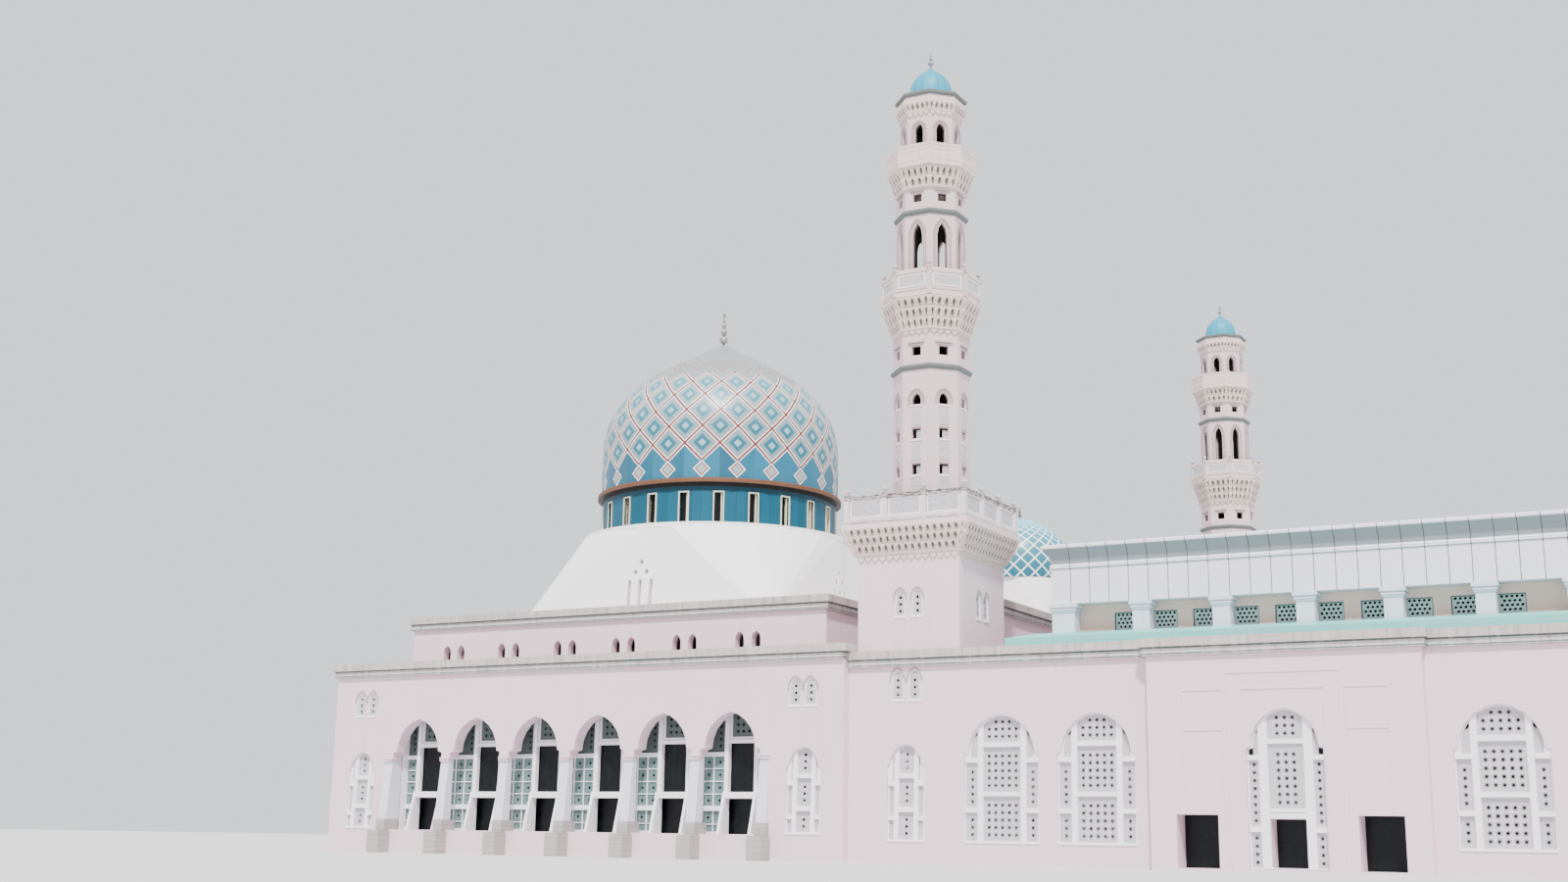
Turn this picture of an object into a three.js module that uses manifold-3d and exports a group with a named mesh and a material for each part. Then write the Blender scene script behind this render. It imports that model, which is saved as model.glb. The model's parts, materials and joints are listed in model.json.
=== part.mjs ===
// A large domed mosque: prayer hall with arcades, clerestory and main dome, a two-storey
// wing beside it, and two tall minarets. The drawing is in metres of the full-size building
// and the outer group turns it into a 1:10 model in millimetres, +Z up.
import * as THREE from 'three';
import { mergeVertices } from 'three/addons/utils/BufferGeometryUtils.js';
import Module from 'manifold-3d';

const wasm = await Module();
wasm.setup();

// Driving dimensions, metres of the full-size building. X runs along the front to the right,
// Y goes back into the building, Z = 0 is the floor of the prayer hall.
const MODEL_SCALE = 100; // millimetres of the 1:10 model for each real metre
const GAP = 0.003; // joint left between pieces that touch
const GROUND = -1.57; // level of the wing's forecourt, the lowest ground

const HALL = { width: 41.08, depth: 36.75, wall: 0.95, wallTop: 10.55, parapetTop: 11.5 };
const ROOF_TOP = 10.0; // top of the low roof slabs
const SLAB = 0.4;
const ARCH = {
  count: 6,
  sideCount: 5,
  pitch: 5.065,
  first: 7.74,
  half: 2.18,
  archHalf: 1.85,
  shoulder: 5.3,
  apex: 7.53,
  capital: 4.88,
};
const PIER = {
  width: 0.7,
  depth: 0.43,
  rake: 0.38,
  plinthTop: 0.7,
  plinthWidth: 0.76,
  plinthFront: 0.48,
  plinthBack: 0.77,
  footingTop: -0.08,
  footingWidth: 1.0,
  footingFront: 1.2,
};
const SCREEN = { front: 1.5, thick: 0.4, doorHalf: 1.03, doorTop: 2.2, transomTop: 2.6, glassTop: 5.65, rake: 0.88 };
const NARROW_WINDOW = { fromEnd: 2.75, half: 1.2, archHalf: 1.02, sill: 0.05, shoulder: 4.15, top: 5.3 };
const SMALL_WINDOW = { offsets: [2.3, 3.37], width: 0.84, sill: 7.8, top: 9.5 };

const CLERESTORY = { left: 3.28, right: 37.63, front: 4.06, wall: 0.6, wallTop: 14.25, parapetTop: 15.2 };
const LINK = { front: 9.8, right: 46.98 };
const CLEAR_WINDOW = { first: 7.1, pitch: 4.94, apart: 1.26, width: 0.67, sill: 11.3, top: 13.1 };

const DOME = {
  x: 20.54,
  y: 18.375,
  baseHalf: 10.75,
  platformRadius: 10.3,
  platform: 21.6,
  drumRadius: 8.95,
  drumWall: 0.5,
  drumTop: 24.55,
  turn: -1.6 * (Math.PI / 180), // how far the drum and its shell are turned from the front
  slots: 22,
  slotWidth: 0.62,
  slotTop: 24.1,
  ringRadius: 9.12,
  springing: 24.95,
  shell: 0.35,
};
const DOME_FACETS = 44;
const DOME_PROFILE = [[9.06, 24.95], [9.1, 27.0], [9.08, 28.7], [8.9, 30.2], [8.42, 31.42], [7.82, 32.42],
  [6.62, 33.74], [5.28, 34.68], [3.84, 35.54], [2.17, 36.46], [0.65, 37.3]];
const BASE_FACETS = 32;
const SMALL_FACETS = 24;
const SMALL_DOME = { x: 42.7, y: 24.65, baseHalf: 3.6, radius: 3.65, springing: 18.72, shell: 0.25 };
const SMALL_DOME_PROFILE = [[3.65, 18.72], [3.66, 19.6], [3.5, 20.5], [3.1, 21.25], [2.4, 22.0], [1.35, 22.75],
  [0.4, 23.12]];

const WING = { left: 41.08, right: 93.92, front: 0.65, back: 73.3, wall: 0.5, parapetTop: 10.97 };
const ENTRANCE = {
  left: 60.06,
  right: 74.76,
  front: -0.05,
  centre: 67.5,
  half: 2.07,
  archHalf: 1.82,
  shoulder: 5.0,
  archTop: 7.02,
};
const SIDE_DOOR = { fromCentre: 4.82, width: 2.3, top: 1.4 };
const MAIN_DOOR = { half: 0.95, top: 1.2 };
const LARGE_WINDOW = {
  half: 2.32,
  archHalf: 2.06,
  sill: -0.3,
  shoulder: 4.85,
  top: 7.05,
  fromCentre: [10.73, 16.48],
};
const WING_NARROW = { fromCentre: 22.59, half: 1.2, archHalf: 1.02, sill: -0.28, shoulder: 4.25, top: 5.42 };
const WING_SMALL = { offsets: [22.0, 23.12], width: 0.82, sill: 8.0, top: 9.85 };

const UPPER = {
  left: 52.22,
  right: 82.78,
  front: 6.12,
  recess: 1.0,
  wall: 0.5,
  soffit: 14.04,
  coveStart: 16.3,
  top: 17.67,
  coveReach: 0.5,
  pierWidth: 1.05,
  endPier: 1.45,
  bays: 6,
  sideBays: 12,
};
const UPPER_WINDOW = { fromBayCentre: 1.22, width: 1.5, sill: 12.0, top: 13.5 };
const LEAN_TO = { front: 1.72, edgeTop: 11.58, edge: 0.33, backTop: 12.3 };

const TOWER = {
  front: { x: 44.82, y: 4.63 },
  rear: { x: 45.84, y: 69.28 },
  baseHalf: 3.42,
  baseWall: 0.7,
  corbelFrom: 17.0,
  deckHalf: 4.23,
  deck: 18.9,
  railTop: 20.76,
  shaft: 2.45,
  shaftWall: 0.45,
  midShaft: 2.27,
  lantern: 2.02,
};

// Colours by eye for a sunlit, slightly dusty building: colour, roughness, metalness.
const PAINTS = {
  wall: [0xe6dadd, 0.85, 0],
  roof: [0xf1eef0, 0.75, 0],
  band: [0xb9b3b4, 0.85, 0],
  screen: [0xd5d4d6, 0.7, 0],
  glass: [0x14191d, 0.2, 0],
  drumTile: [0x2f8fb0, 0.35, 0],
  domeTile: [0x9fb9c4, 0.35, 0],
  copper: [0x8a4a3a, 0.5, 0.4],
  skyBlue: [0x59b4d0, 0.4, 0],
  panel: [0xd9dde2, 0.45, 0.2],
  mintMetal: [0xa6ddd0, 0.45, 0.2],
  stone: [0xb0aaa5, 0.8, 0],
  brass: [0x9c9a90, 0.35, 0.8],
};

function material(name) {
  const [color, roughness, metalness] = PAINTS[name];
  return new THREE.MeshStandardMaterial({ color, roughness, metalness });
}

// A closed solid from a three.js geometry, its shared vertices merged.
function solid(geometry) {
  const loose = geometry.index ? geometry.toNonIndexed() : geometry.clone();
  loose.deleteAttribute('normal');
  loose.deleteAttribute('uv');
  const merged = mergeVertices(loose, 1e-4);
  const corners = [];
  const index = merged.index.array;
  for (let i = 0; i < index.length; i += 3) {
    const [a, b, c] = [index[i], index[i + 1], index[i + 2]];
    if (a !== b && b !== c && c !== a) corners.push(a, b, c);
  }
  const mesh = new wasm.Mesh({
    numProp: 3,
    vertProperties: new Float32Array(merged.attributes.position.array),
    triVerts: new Uint32Array(corners),
  });
  return new wasm.Manifold(mesh);
}

function join(parts) {
  return parts.reduce((whole, part) => whole.add(part));
}

function cut(body, cutters) {
  return cutters.reduce((rest, cutter) => rest.subtract(cutter), body);
}

function box(x0, x1, y0, y1, z0, z1) {
  const geometry = new THREE.BoxGeometry(x1 - x0, y1 - y0, z1 - z0);
  return solid(geometry.translate((x0 + x1) / 2, (y0 + y1) / 2, (z0 + z1) / 2));
}

// A box whose top face is wider than its bottom face by `grow` on every side.
function flaredBox(x0, x1, y0, y1, z0, z1, grow) {
  const geometry = new THREE.BoxGeometry(x1 - x0, y1 - y0, z1 - z0);
  const place = geometry.attributes.position;
  for (let i = 0; i < place.count; i += 1) {
    if (place.getZ(i) > 0) {
      place.setX(i, place.getX(i) + Math.sign(place.getX(i)) * grow);
      place.setY(i, place.getY(i) + Math.sign(place.getY(i)) * grow);
    }
  }
  return solid(geometry.translate((x0 + x1) / 2, (y0 + y1) / 2, (z0 + z1) / 2));
}

function outline(points) {
  return new THREE.Shape(points.map(([x, y]) => new THREE.Vector2(x, y)));
}

function extrude(shape, depth) {
  return new THREE.ExtrudeGeometry(shape, { depth, bevelEnabled: false, steps: 1, curveSegments: 12 });
}

// A shape drawn in X and Z, standing from y0 to y1.
function upright(shape, y0, y1) {
  return solid(extrude(shape, y1 - y0).rotateX(Math.PI / 2).translate(0, y1, 0));
}

// A shape drawn in X and Y, lying from z0 to z1.
function plate(shape, z0, z1) {
  return solid(extrude(shape, z1 - z0).translate(0, 0, z0));
}

// A shape drawn in Y and Z, running from x0 to x1.
const TURN_YZ = new THREE.Matrix4().makeBasis(
  new THREE.Vector3(0, 1, 0),
  new THREE.Vector3(0, 0, 1),
  new THREE.Vector3(1, 0, 0),
);
function profileBar(points, x0, x1) {
  return solid(extrude(outline(points), x1 - x0).applyMatrix4(TURN_YZ).translate(x0, 0, 0));
}

// Half of a pointed arch on the right of its centre, from the springing up to the apex.
function archCurve(half, spring, apex, steps) {
  const rise = apex - spring;
  const radius = (rise * rise + half * half) / (2 * half);
  const end = Math.atan2(rise, radius - half);
  const points = [];
  for (let i = 0; i <= steps; i += 1) {
    const angle = (end * i) / steps;
    points.push([half - radius + radius * Math.cos(angle), spring + radius * Math.sin(angle)]);
  }
  return points;
}

// An opening with a pointed head; `wide` gives the half width below the springing if it differs.
function pointedOpening(x, sill, spring, apex, half, steps, wide = half) {
  const curve = archCurve(half, spring, apex, steps);
  const side = wide === half ? [[half, sill]] : [[wide, sill], [wide, spring - 0.1]];
  const right = [...side, ...curve];
  const left = right.slice(0, -1).reverse().map(([u, z]) => [-u, z]);
  return [...right, ...left].map(([u, z]) => [x + u, z]);
}

function smallOpening(x, width, sill, top) {
  return pointedOpening(x, sill, top - width * 0.75, top, width / 2, 2);
}

function rectanglePoints(x0, x1, y0, y1) {
  return [[x0, y0], [x1, y0], [x1, y1], [x0, y1]];
}

// A wall along X with openings cut right through it.
function openWall(x0, x1, y0, y1, bottom, top, openings) {
  const cutters = openings.map((points) => upright(outline(points), y0 - 1, y1 + 1));
  return cut(box(x0, x1, y0, y1, bottom, top), cutters);
}

// The same for a wall along Y.
function openSideWall(x0, x1, y0, y1, bottom, top, openings) {
  const cutters = openings.map((points) => profileBar(points, x0 - 1, x1 + 1));
  return cut(box(x0, x1, y0, y1, bottom, top), cutters);
}

// A ring of eight-sided or round section from a closed profile of radius and height.
function lathe(profile, segments, turn = 0) {
  const points = profile.map(([r, z]) => new THREE.Vector2(r, z));
  return solid(new THREE.LatheGeometry(points, segments, turn).rotateX(Math.PI / 2));
}

function octagonRing(profile) {
  return lathe(profile, 8, Math.PI / 8);
}

function octagonBand(outer, inner, z0, z1) {
  return octagonRing([[outer, z0], [outer, z1], [inner, z1], [inner, z0], [outer, z0]]);
}

const model = new THREE.Group();

function geometryOf(body) {
  const mesh = body.getMesh();
  const geometry = new THREE.BufferGeometry();
  geometry.setAttribute('position', new THREE.BufferAttribute(new Float32Array(mesh.vertProperties), 3));
  geometry.setIndex(new THREE.BufferAttribute(new Uint32Array(mesh.triVerts), 1));
  geometry.computeVertexNormals();
  return geometry;
}

function addPiece(name, body, paint, parent = model) {
  const mesh = new THREE.Mesh(geometryOf(body), material(paint));
  mesh.name = name;
  parent.add(mesh);
  return mesh;
}

// Prayer hall. Each side is drawn as seen from outside, its length along X and its depth
// along Y, and then turned to its place.
function archCentres(first, count) {
  return Array.from({ length: count }, (_, i) => first + i * ARCH.pitch);
}

// A slim pier that leans out towards its stone block, on a footing below the floor.
function rakedPier(x) {
  const half = PIER.width / 2;
  const rake = [[0.3, ARCH.capital - 0.2], [0, ARCH.capital - 0.2], [-PIER.rake, PIER.plinthTop - 0.1],
    [0.3, PIER.plinthTop - 0.1]];
  const block = PIER.plinthWidth / 2;
  const foot = PIER.footingWidth / 2;
  return join([
    profileBar(rake, x - half, x + half),
    box(x - block, x + block, -PIER.plinthFront, PIER.plinthBack, PIER.footingTop - 0.1, PIER.plinthTop),
    box(x - foot, x + foot, -PIER.footingFront, 0.3, GROUND, PIER.footingTop),
  ]);
}

function arcadeWall(length, first, count) {
  const centres = archCentres(first, count);
  const arches = centres.map((x) => pointedOpening(
    x, 0, ARCH.shoulder, ARCH.apex, ARCH.archHalf, 5, ARCH.half));
  const ends = [NARROW_WINDOW.fromEnd, length - NARROW_WINDOW.fromEnd];
  const narrow = ends.map((x) => pointedOpening(
    x, NARROW_WINDOW.sill, NARROW_WINDOW.shoulder, NARROW_WINDOW.top, NARROW_WINDOW.archHalf, 4,
    NARROW_WINDOW.half));
  const small = SMALL_WINDOW.offsets.flatMap((u) => [u, length - u]).map((x) => smallOpening(
    x, SMALL_WINDOW.width, SMALL_WINDOW.sill, SMALL_WINDOW.top));
  const wall = openWall(0, length, 0, HALL.wall, GROUND, HALL.wallTop, [...arches, ...narrow, ...small]);
  const pierPlaces = Array.from({ length: count + 1 }, (_, i) => first + (i - 0.5) * ARCH.pitch);
  const behindPiers = pierPlaces.slice(1, -1).map((x) => box(
    x - 0.4, x + 0.4, PIER.depth, HALL.wall + 1, PIER.plinthTop, ARCH.capital));
  return join([cut(wall, behindPiers), ...pierPlaces.map(rakedPier)]);
}

// The screen behind the arcade: doors, dark glass above them and raked door jambs.
function arcadeScreen(start, end, first, count) {
  const { front, thick, doorHalf, doorTop, transomTop, glassTop, rake } = SCREEN;
  const back = front + thick;
  const centres = archCentres(first, count);
  const doors = centres.map((x) => rectanglePoints(x - doorHalf, x + doorHalf, 0.08, doorTop));
  const sheet = openWall(start, end, front, back, GAP, ROOF_TOP - SLAB - GAP, doors);
  const jambProfile = [[back, GAP], [back, transomTop], [front, transomTop], [front - rake, GAP]];
  const jambs = centres.flatMap((x) => [x - doorHalf - 0.2, x + doorHalf].map((u) => (
    profileBar(jambProfile, u, u + 0.2))));
  const glassRecess = centres.map((x) => box(
    x - doorHalf - 0.2, x + doorHalf + 0.2, front - 0.1, front + 0.2, transomTop, glassTop));
  return cut(join([sheet, ...jambs]), glassRecess);
}

function hall() {
  const { width, depth, wall } = HALL;
  const sideLength = depth - 2 * (wall + GAP);
  const sideFirst = (sideLength - ARCH.pitch * (ARCH.sideCount - 1)) / 2;
  const backFirst = (width - ARCH.pitch * (ARCH.count - 1)) / 2;

  addPiece('hall_front_wall', arcadeWall(width, ARCH.first, ARCH.count), 'wall');
  const left = addPiece('hall_left_wall', arcadeWall(sideLength, sideFirst, ARCH.sideCount), 'wall');
  left.rotation.z = -Math.PI / 2;
  left.position.set(0, depth - wall - GAP, 0);
  const back = addPiece('hall_back_wall', arcadeWall(width, backFirst, ARCH.count), 'wall');
  back.rotation.z = Math.PI;
  back.position.set(width, depth, 0);

  const inner = wall + GAP;
  const screenEnd = SCREEN.front + SCREEN.thick + GAP;
  addPiece('hall_front_screen', arcadeScreen(inner, width - inner, ARCH.first, ARCH.count), 'screen');
  const leftScreen = addPiece('hall_left_screen', arcadeScreen(
    screenEnd - inner, sideLength - screenEnd + inner, sideFirst, ARCH.sideCount), 'screen');
  leftScreen.rotation.z = -Math.PI / 2;
  leftScreen.position.set(0, depth - wall - GAP, 0);
  const backScreen = addPiece('hall_back_screen', arcadeScreen(
    inner, width - inner, backFirst, ARCH.count), 'screen');
  backScreen.rotation.z = Math.PI;
  backScreen.position.set(width, depth, 0);

  const floor = box(inner, width - GAP, inner, depth - inner, GROUND, 0);
  addPiece('hall_plinth', floor, 'stone');

  const { left: x0, right: x1, front: y0, wall: upper } = CLERESTORY;
  addPiece('hall_roof', cut(box(inner, width - GAP, inner, depth - inner, ROOF_TOP - SLAB, ROOF_TOP), [
    box(x0 + upper, x1 - upper, y0 + upper, clerestoryBack() - upper, 0, ROOF_TOP + 1),
  ]), 'band');

  const top = HALL.parapetTop;
  const mid = 11.0;
  const eastReach = 0.3;
  const bands = join([
    box(-0.33, width + eastReach, -0.33, depth + 0.33, mid, top),
    box(-0.2, width - GAP, -0.2, depth + 0.2, HALL.wallTop + GAP, mid + 0.01),
    box(width - 0.6, width - GAP, wall + GAP, depth - wall - GAP, ROOF_TOP + GAP, mid),
  ]);
  const court = box(0.6, width - 0.6, 0.6, depth - 0.6, ROOF_TOP, top + 1);
  const linkGap = box(CLERESTORY.right - 0.5, LINK.right, LINK.front - 0.34, clerestoryBack() + 0.34,
    ROOF_TOP, top + 1);
  addPiece('hall_parapet', cut(bands, [court, linkGap]), 'band');
}

// Clerestory over the hall, with the link block that runs behind the front minaret.
function clerestoryBack() {
  return 2 * DOME.y - CLERESTORY.front;
}

function clerestoryOutline(reach) {
  const { left, right, front } = CLERESTORY;
  const back = clerestoryBack() + reach;
  return outline([[left - reach, front - reach], [right + reach, front - reach],
    [right + reach, LINK.front - reach], [LINK.right + reach, LINK.front - reach],
    [LINK.right + reach, back], [left - reach, back]]);
}

function clearWindowPairs(first, count) {
  return Array.from({ length: count }, (_, i) => first + i * CLEAR_WINDOW.pitch)
    .flatMap((x) => [x - CLEAR_WINDOW.apart / 2, x + CLEAR_WINDOW.apart / 2])
    .map((x) => smallOpening(x, CLEAR_WINDOW.width, CLEAR_WINDOW.sill, CLEAR_WINDOW.top));
}

function clerestory() {
  const { left, right, front, wall, wallTop, parapetTop } = CLERESTORY;
  const back = clerestoryBack();
  const foot = ROOF_TOP + GAP;
  const pairs = clearWindowPairs(CLEAR_WINDOW.first - left, 6);
  const frontWall = openWall(0, right - left, 0, wall, foot, wallTop, pairs);
  addPiece('clerestory_front_wall', frontWall, 'wall').position.set(left, front, 0);

  const frontClear = box(left - 1, right + 1, front - 1, front + wall + GAP, foot - 1, wallTop + 1);
  const backHoles = clearWindowPairs(CLEAR_WINDOW.first, 6).map((hole) => (
    upright(outline(hole), back - 1, back + 1)));
  const leftHoles = clearWindowPairs(front + 4.4, 5).map((hole) => profileBar(hole, left - 1, left + 1));
  const inside = plate(clerestoryOutline(-wall), foot - 1, parapetTop + 1);
  const around = plate(clerestoryOutline(0), foot, wallTop);
  addPiece('clerestory_side_walls', cut(around, [inside, frontClear, ...backHoles, ...leftHoles]), 'wall');

  const bandSplit = parapetTop - 0.5;
  const bands = join([
    plate(clerestoryOutline(0.2), wallTop + GAP, bandSplit + 0.01),
    plate(clerestoryOutline(0.32), bandSplit, parapetTop),
  ]);
  addPiece('clerestory_parapet', cut(bands, [inside]), 'band');

  const roof = plate(clerestoryOutline(-wall - GAP), wallTop - SLAB, wallTop);
  addPiece('clerestory_roof', cut(roof, [domeWell(0, wallTop + 1)]), 'roof');
}

// White dome base: flat triangles over the sides of a square and cone corners up to a circle.
function squareToCircle(half, radius, z0, z1, segments) {
  const geometry = new THREE.CylinderGeometry(radius, half, z1 - z0, segments, 1).rotateX(Math.PI / 2);
  const place = geometry.attributes.position;
  const cornerOf = (u) => (Math.abs(u) < 1e-5 ? 0 : Math.sign(u) * half);
  for (let i = 0; i < place.count; i += 1) {
    const [x, y, z] = [place.getX(i), place.getY(i), place.getZ(i)];
    if (z < 0 && Math.hypot(x, y) > half / 2) {
      place.setX(i, cornerOf(x));
      place.setY(i, cornerOf(y));
    }
  }
  return solid(geometry.translate(0, 0, (z0 + z1) / 2));
}

function disc(radius, z0, z1, segments) {
  return lathe([[0, z0], [radius, z0], [radius, z1], [0, z1]], segments);
}

// The round space under the dome.
function domeWell(z0, z1) {
  const geometry = new THREE.CylinderGeometry(1, 1, z1 - z0, DOME_FACETS).rotateX(Math.PI / 2);
  const radius = DOME.drumRadius - DOME.drumWall;
  return solid(geometry.scale(radius, radius, 1).translate(DOME.x, DOME.y, (z0 + z1) / 2));
}

// Three slots with round holes above them, cut through one side of the white dome base.
const SLOT_GROUP = { slots: [-0.89, 0, 0.89], width: 0.3, sill: 15.35, top: 17.72, hole: 0.2, holeSides: 6 };
function slotGroup(distance) {
  const slots = SLOT_GROUP.slots.map((x) => throughCutter(
    smallOpening(x, SLOT_GROUP.width, SLOT_GROUP.sill, SLOT_GROUP.top), distance - 2, distance + 1));
  const holes = [[-0.45, 18.2], [0.45, 18.2], [0, 18.92]].map(([x, z]) => (
    new THREE.CylinderGeometry(SLOT_GROUP.hole, SLOT_GROUP.hole, 3, SLOT_GROUP.holeSides)
      .translate(x, -distance, z)));
  return [...slots, ...holes].flatMap((cutter) => turned(cutter, 4));
}

function mainDome() {
  const dome = new THREE.Group();
  dome.position.set(DOME.x, DOME.y, 0);
  model.add(dome);
  const foot = CLERESTORY.wallTop + GAP;
  const inner = 0.5;
  const body = squareToCircle(DOME.baseHalf, DOME.platformRadius, foot, DOME.platform, BASE_FACETS);
  const hollow = squareToCircle(DOME.baseHalf - inner, DOME.platformRadius - inner, foot - 0.01,
    DOME.platform - SLAB, BASE_FACETS);
  const well = disc(DOME.drumRadius - DOME.drumWall, foot, DOME.platform + 1, DOME_FACETS);
  addPiece('dome_base', cut(body, [hollow, well, ...slotGroup(DOME.baseHalf)]), 'roof', dome);

  const { drumRadius: outer, drumWall, platform, drumTop } = DOME;
  const bore = outer - drumWall;
  const halfFacet = Math.PI / DOME_FACETS;
  const drum = lathe([[outer, platform + GAP], [outer, drumTop], [bore, drumTop], [bore, platform + GAP],
    [outer, platform + GAP]], DOME_FACETS, halfFacet);
  const slots = Array.from({ length: DOME.slots }, (_, i) => {
    const slot = new THREE.BoxGeometry(DOME.slotWidth, 2, DOME.slotTop - platform - 0.3);
    slot.translate(0, -outer, (DOME.slotTop + platform + 0.3) / 2);
    return solid(slot.rotateZ((i * 2 * Math.PI) / DOME.slots));
  });
  const turnedDome = new THREE.Group();
  turnedDome.rotation.z = DOME.turn;
  dome.add(turnedDome);
  addPiece('dome_drum', cut(drum, slots), 'drumTile', turnedDome);

  const lip = DOME.ringRadius;
  const ring = lathe([[lip, drumTop + GAP], [lip, DOME.springing - GAP], [bore, DOME.springing - GAP],
    [bore, drumTop + GAP], [lip, drumTop + GAP]], DOME_FACETS);
  addPiece('dome_ring', ring, 'copper', turnedDome);

  addPiece('dome_shell', shell(DOME_PROFILE, DOME.shell, DOME_FACETS), 'domeTile', turnedDome);
  const [, tip] = DOME_PROFILE[DOME_PROFILE.length - 1];
  const finial = lathe([[0, tip + GAP], [0.34, tip + GAP], [0.16, tip + 0.3], [0.36, tip + 0.6],
    [0.12, tip + 0.9], [0.28, tip + 1.2], [0.09, tip + 1.5], [0.2, tip + 1.75], [0.06, tip + 2.0],
    [0, 40.52]], 8);
  addPiece('dome_finial', finial, 'brass', dome);
}

// A dome shell from its outer profile, closed at the top and open below.
function shell(profile, thick, segments) {
  const inner = profile.filter((_, i) => i % 2 === 0)
    .map(([r, z], i) => [Math.max(r - thick, 0), i === 0 ? z : z - thick]);
  const last = profile[profile.length - 1];
  const loop = [...profile, [0, last[1]], [0, last[1] - thick - 0.3], ...inner.reverse(), profile[0]];
  return lathe(loop, segments);
}

function smallDome() {
  const dome = new THREE.Group();
  dome.position.set(SMALL_DOME.x, SMALL_DOME.y, 0);
  model.add(dome);
  const foot = CLERESTORY.wallTop + GAP;
  const { baseHalf, radius, springing } = SMALL_DOME;
  const body = squareToCircle(baseHalf, radius + 0.1, foot, springing - GAP, SMALL_FACETS);
  const hollow = squareToCircle(baseHalf - 0.4, radius - 0.3, foot - 0.01, springing + 1, SMALL_FACETS);
  addPiece('small_dome_base', cut(body, [hollow]), 'roof', dome);
  const [, tip] = SMALL_DOME_PROFILE[SMALL_DOME_PROFILE.length - 1];
  const finial = lathe([[0, tip - 0.05], [0.2, tip - 0.05], [0.1, tip + 0.15], [0.18, tip + 0.3],
    [0.06, tip + 0.45], [0, 23.75]], 8);
  const top = shell(SMALL_DOME_PROFILE, SMALL_DOME.shell, SMALL_FACETS);
  addPiece('small_dome', join([top, finial]), 'skyBlue', dome);
}

// Wing: front, back and side walls, entrance bay, parapet, roof and floor.
function largeWindow(x) {
  const { half, archHalf, sill, shoulder, top } = LARGE_WINDOW;
  return pointedOpening(x, sill, shoulder, top, archHalf, 5, half);
}

function wingEndWindows(x, side) {
  const narrow = pointedOpening(x + side * WING_NARROW.fromCentre, WING_NARROW.sill, WING_NARROW.shoulder,
    WING_NARROW.top, WING_NARROW.archHalf, 4, WING_NARROW.half);
  const small = WING_SMALL.offsets.map((u) => smallOpening(
    x + side * u, WING_SMALL.width, WING_SMALL.sill, WING_SMALL.top));
  return [narrow, ...small];
}

function wingOutline(reach, westReach) {
  const { left, right, front, back } = WING;
  const bay = ENTRANCE;
  return outline([[left - westReach, front - reach], [bay.left - reach, front - reach],
    [bay.left - reach, bay.front - reach], [bay.right + reach, bay.front - reach],
    [bay.right + reach, front - reach], [right + reach, front - reach],
    [right + reach, back + reach], [left - westReach, back + reach]]);
}

// The squares that the two minarets take out of the wing, as cutters.
function towerCutters() {
  const half = TOWER.baseHalf + GAP;
  return [TOWER.front, TOWER.rear].map(({ x, y }) => (
    box(x - half, x + half, y - half, y + half, GROUND - 1, WING.parapetTop + 1)));
}

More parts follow.
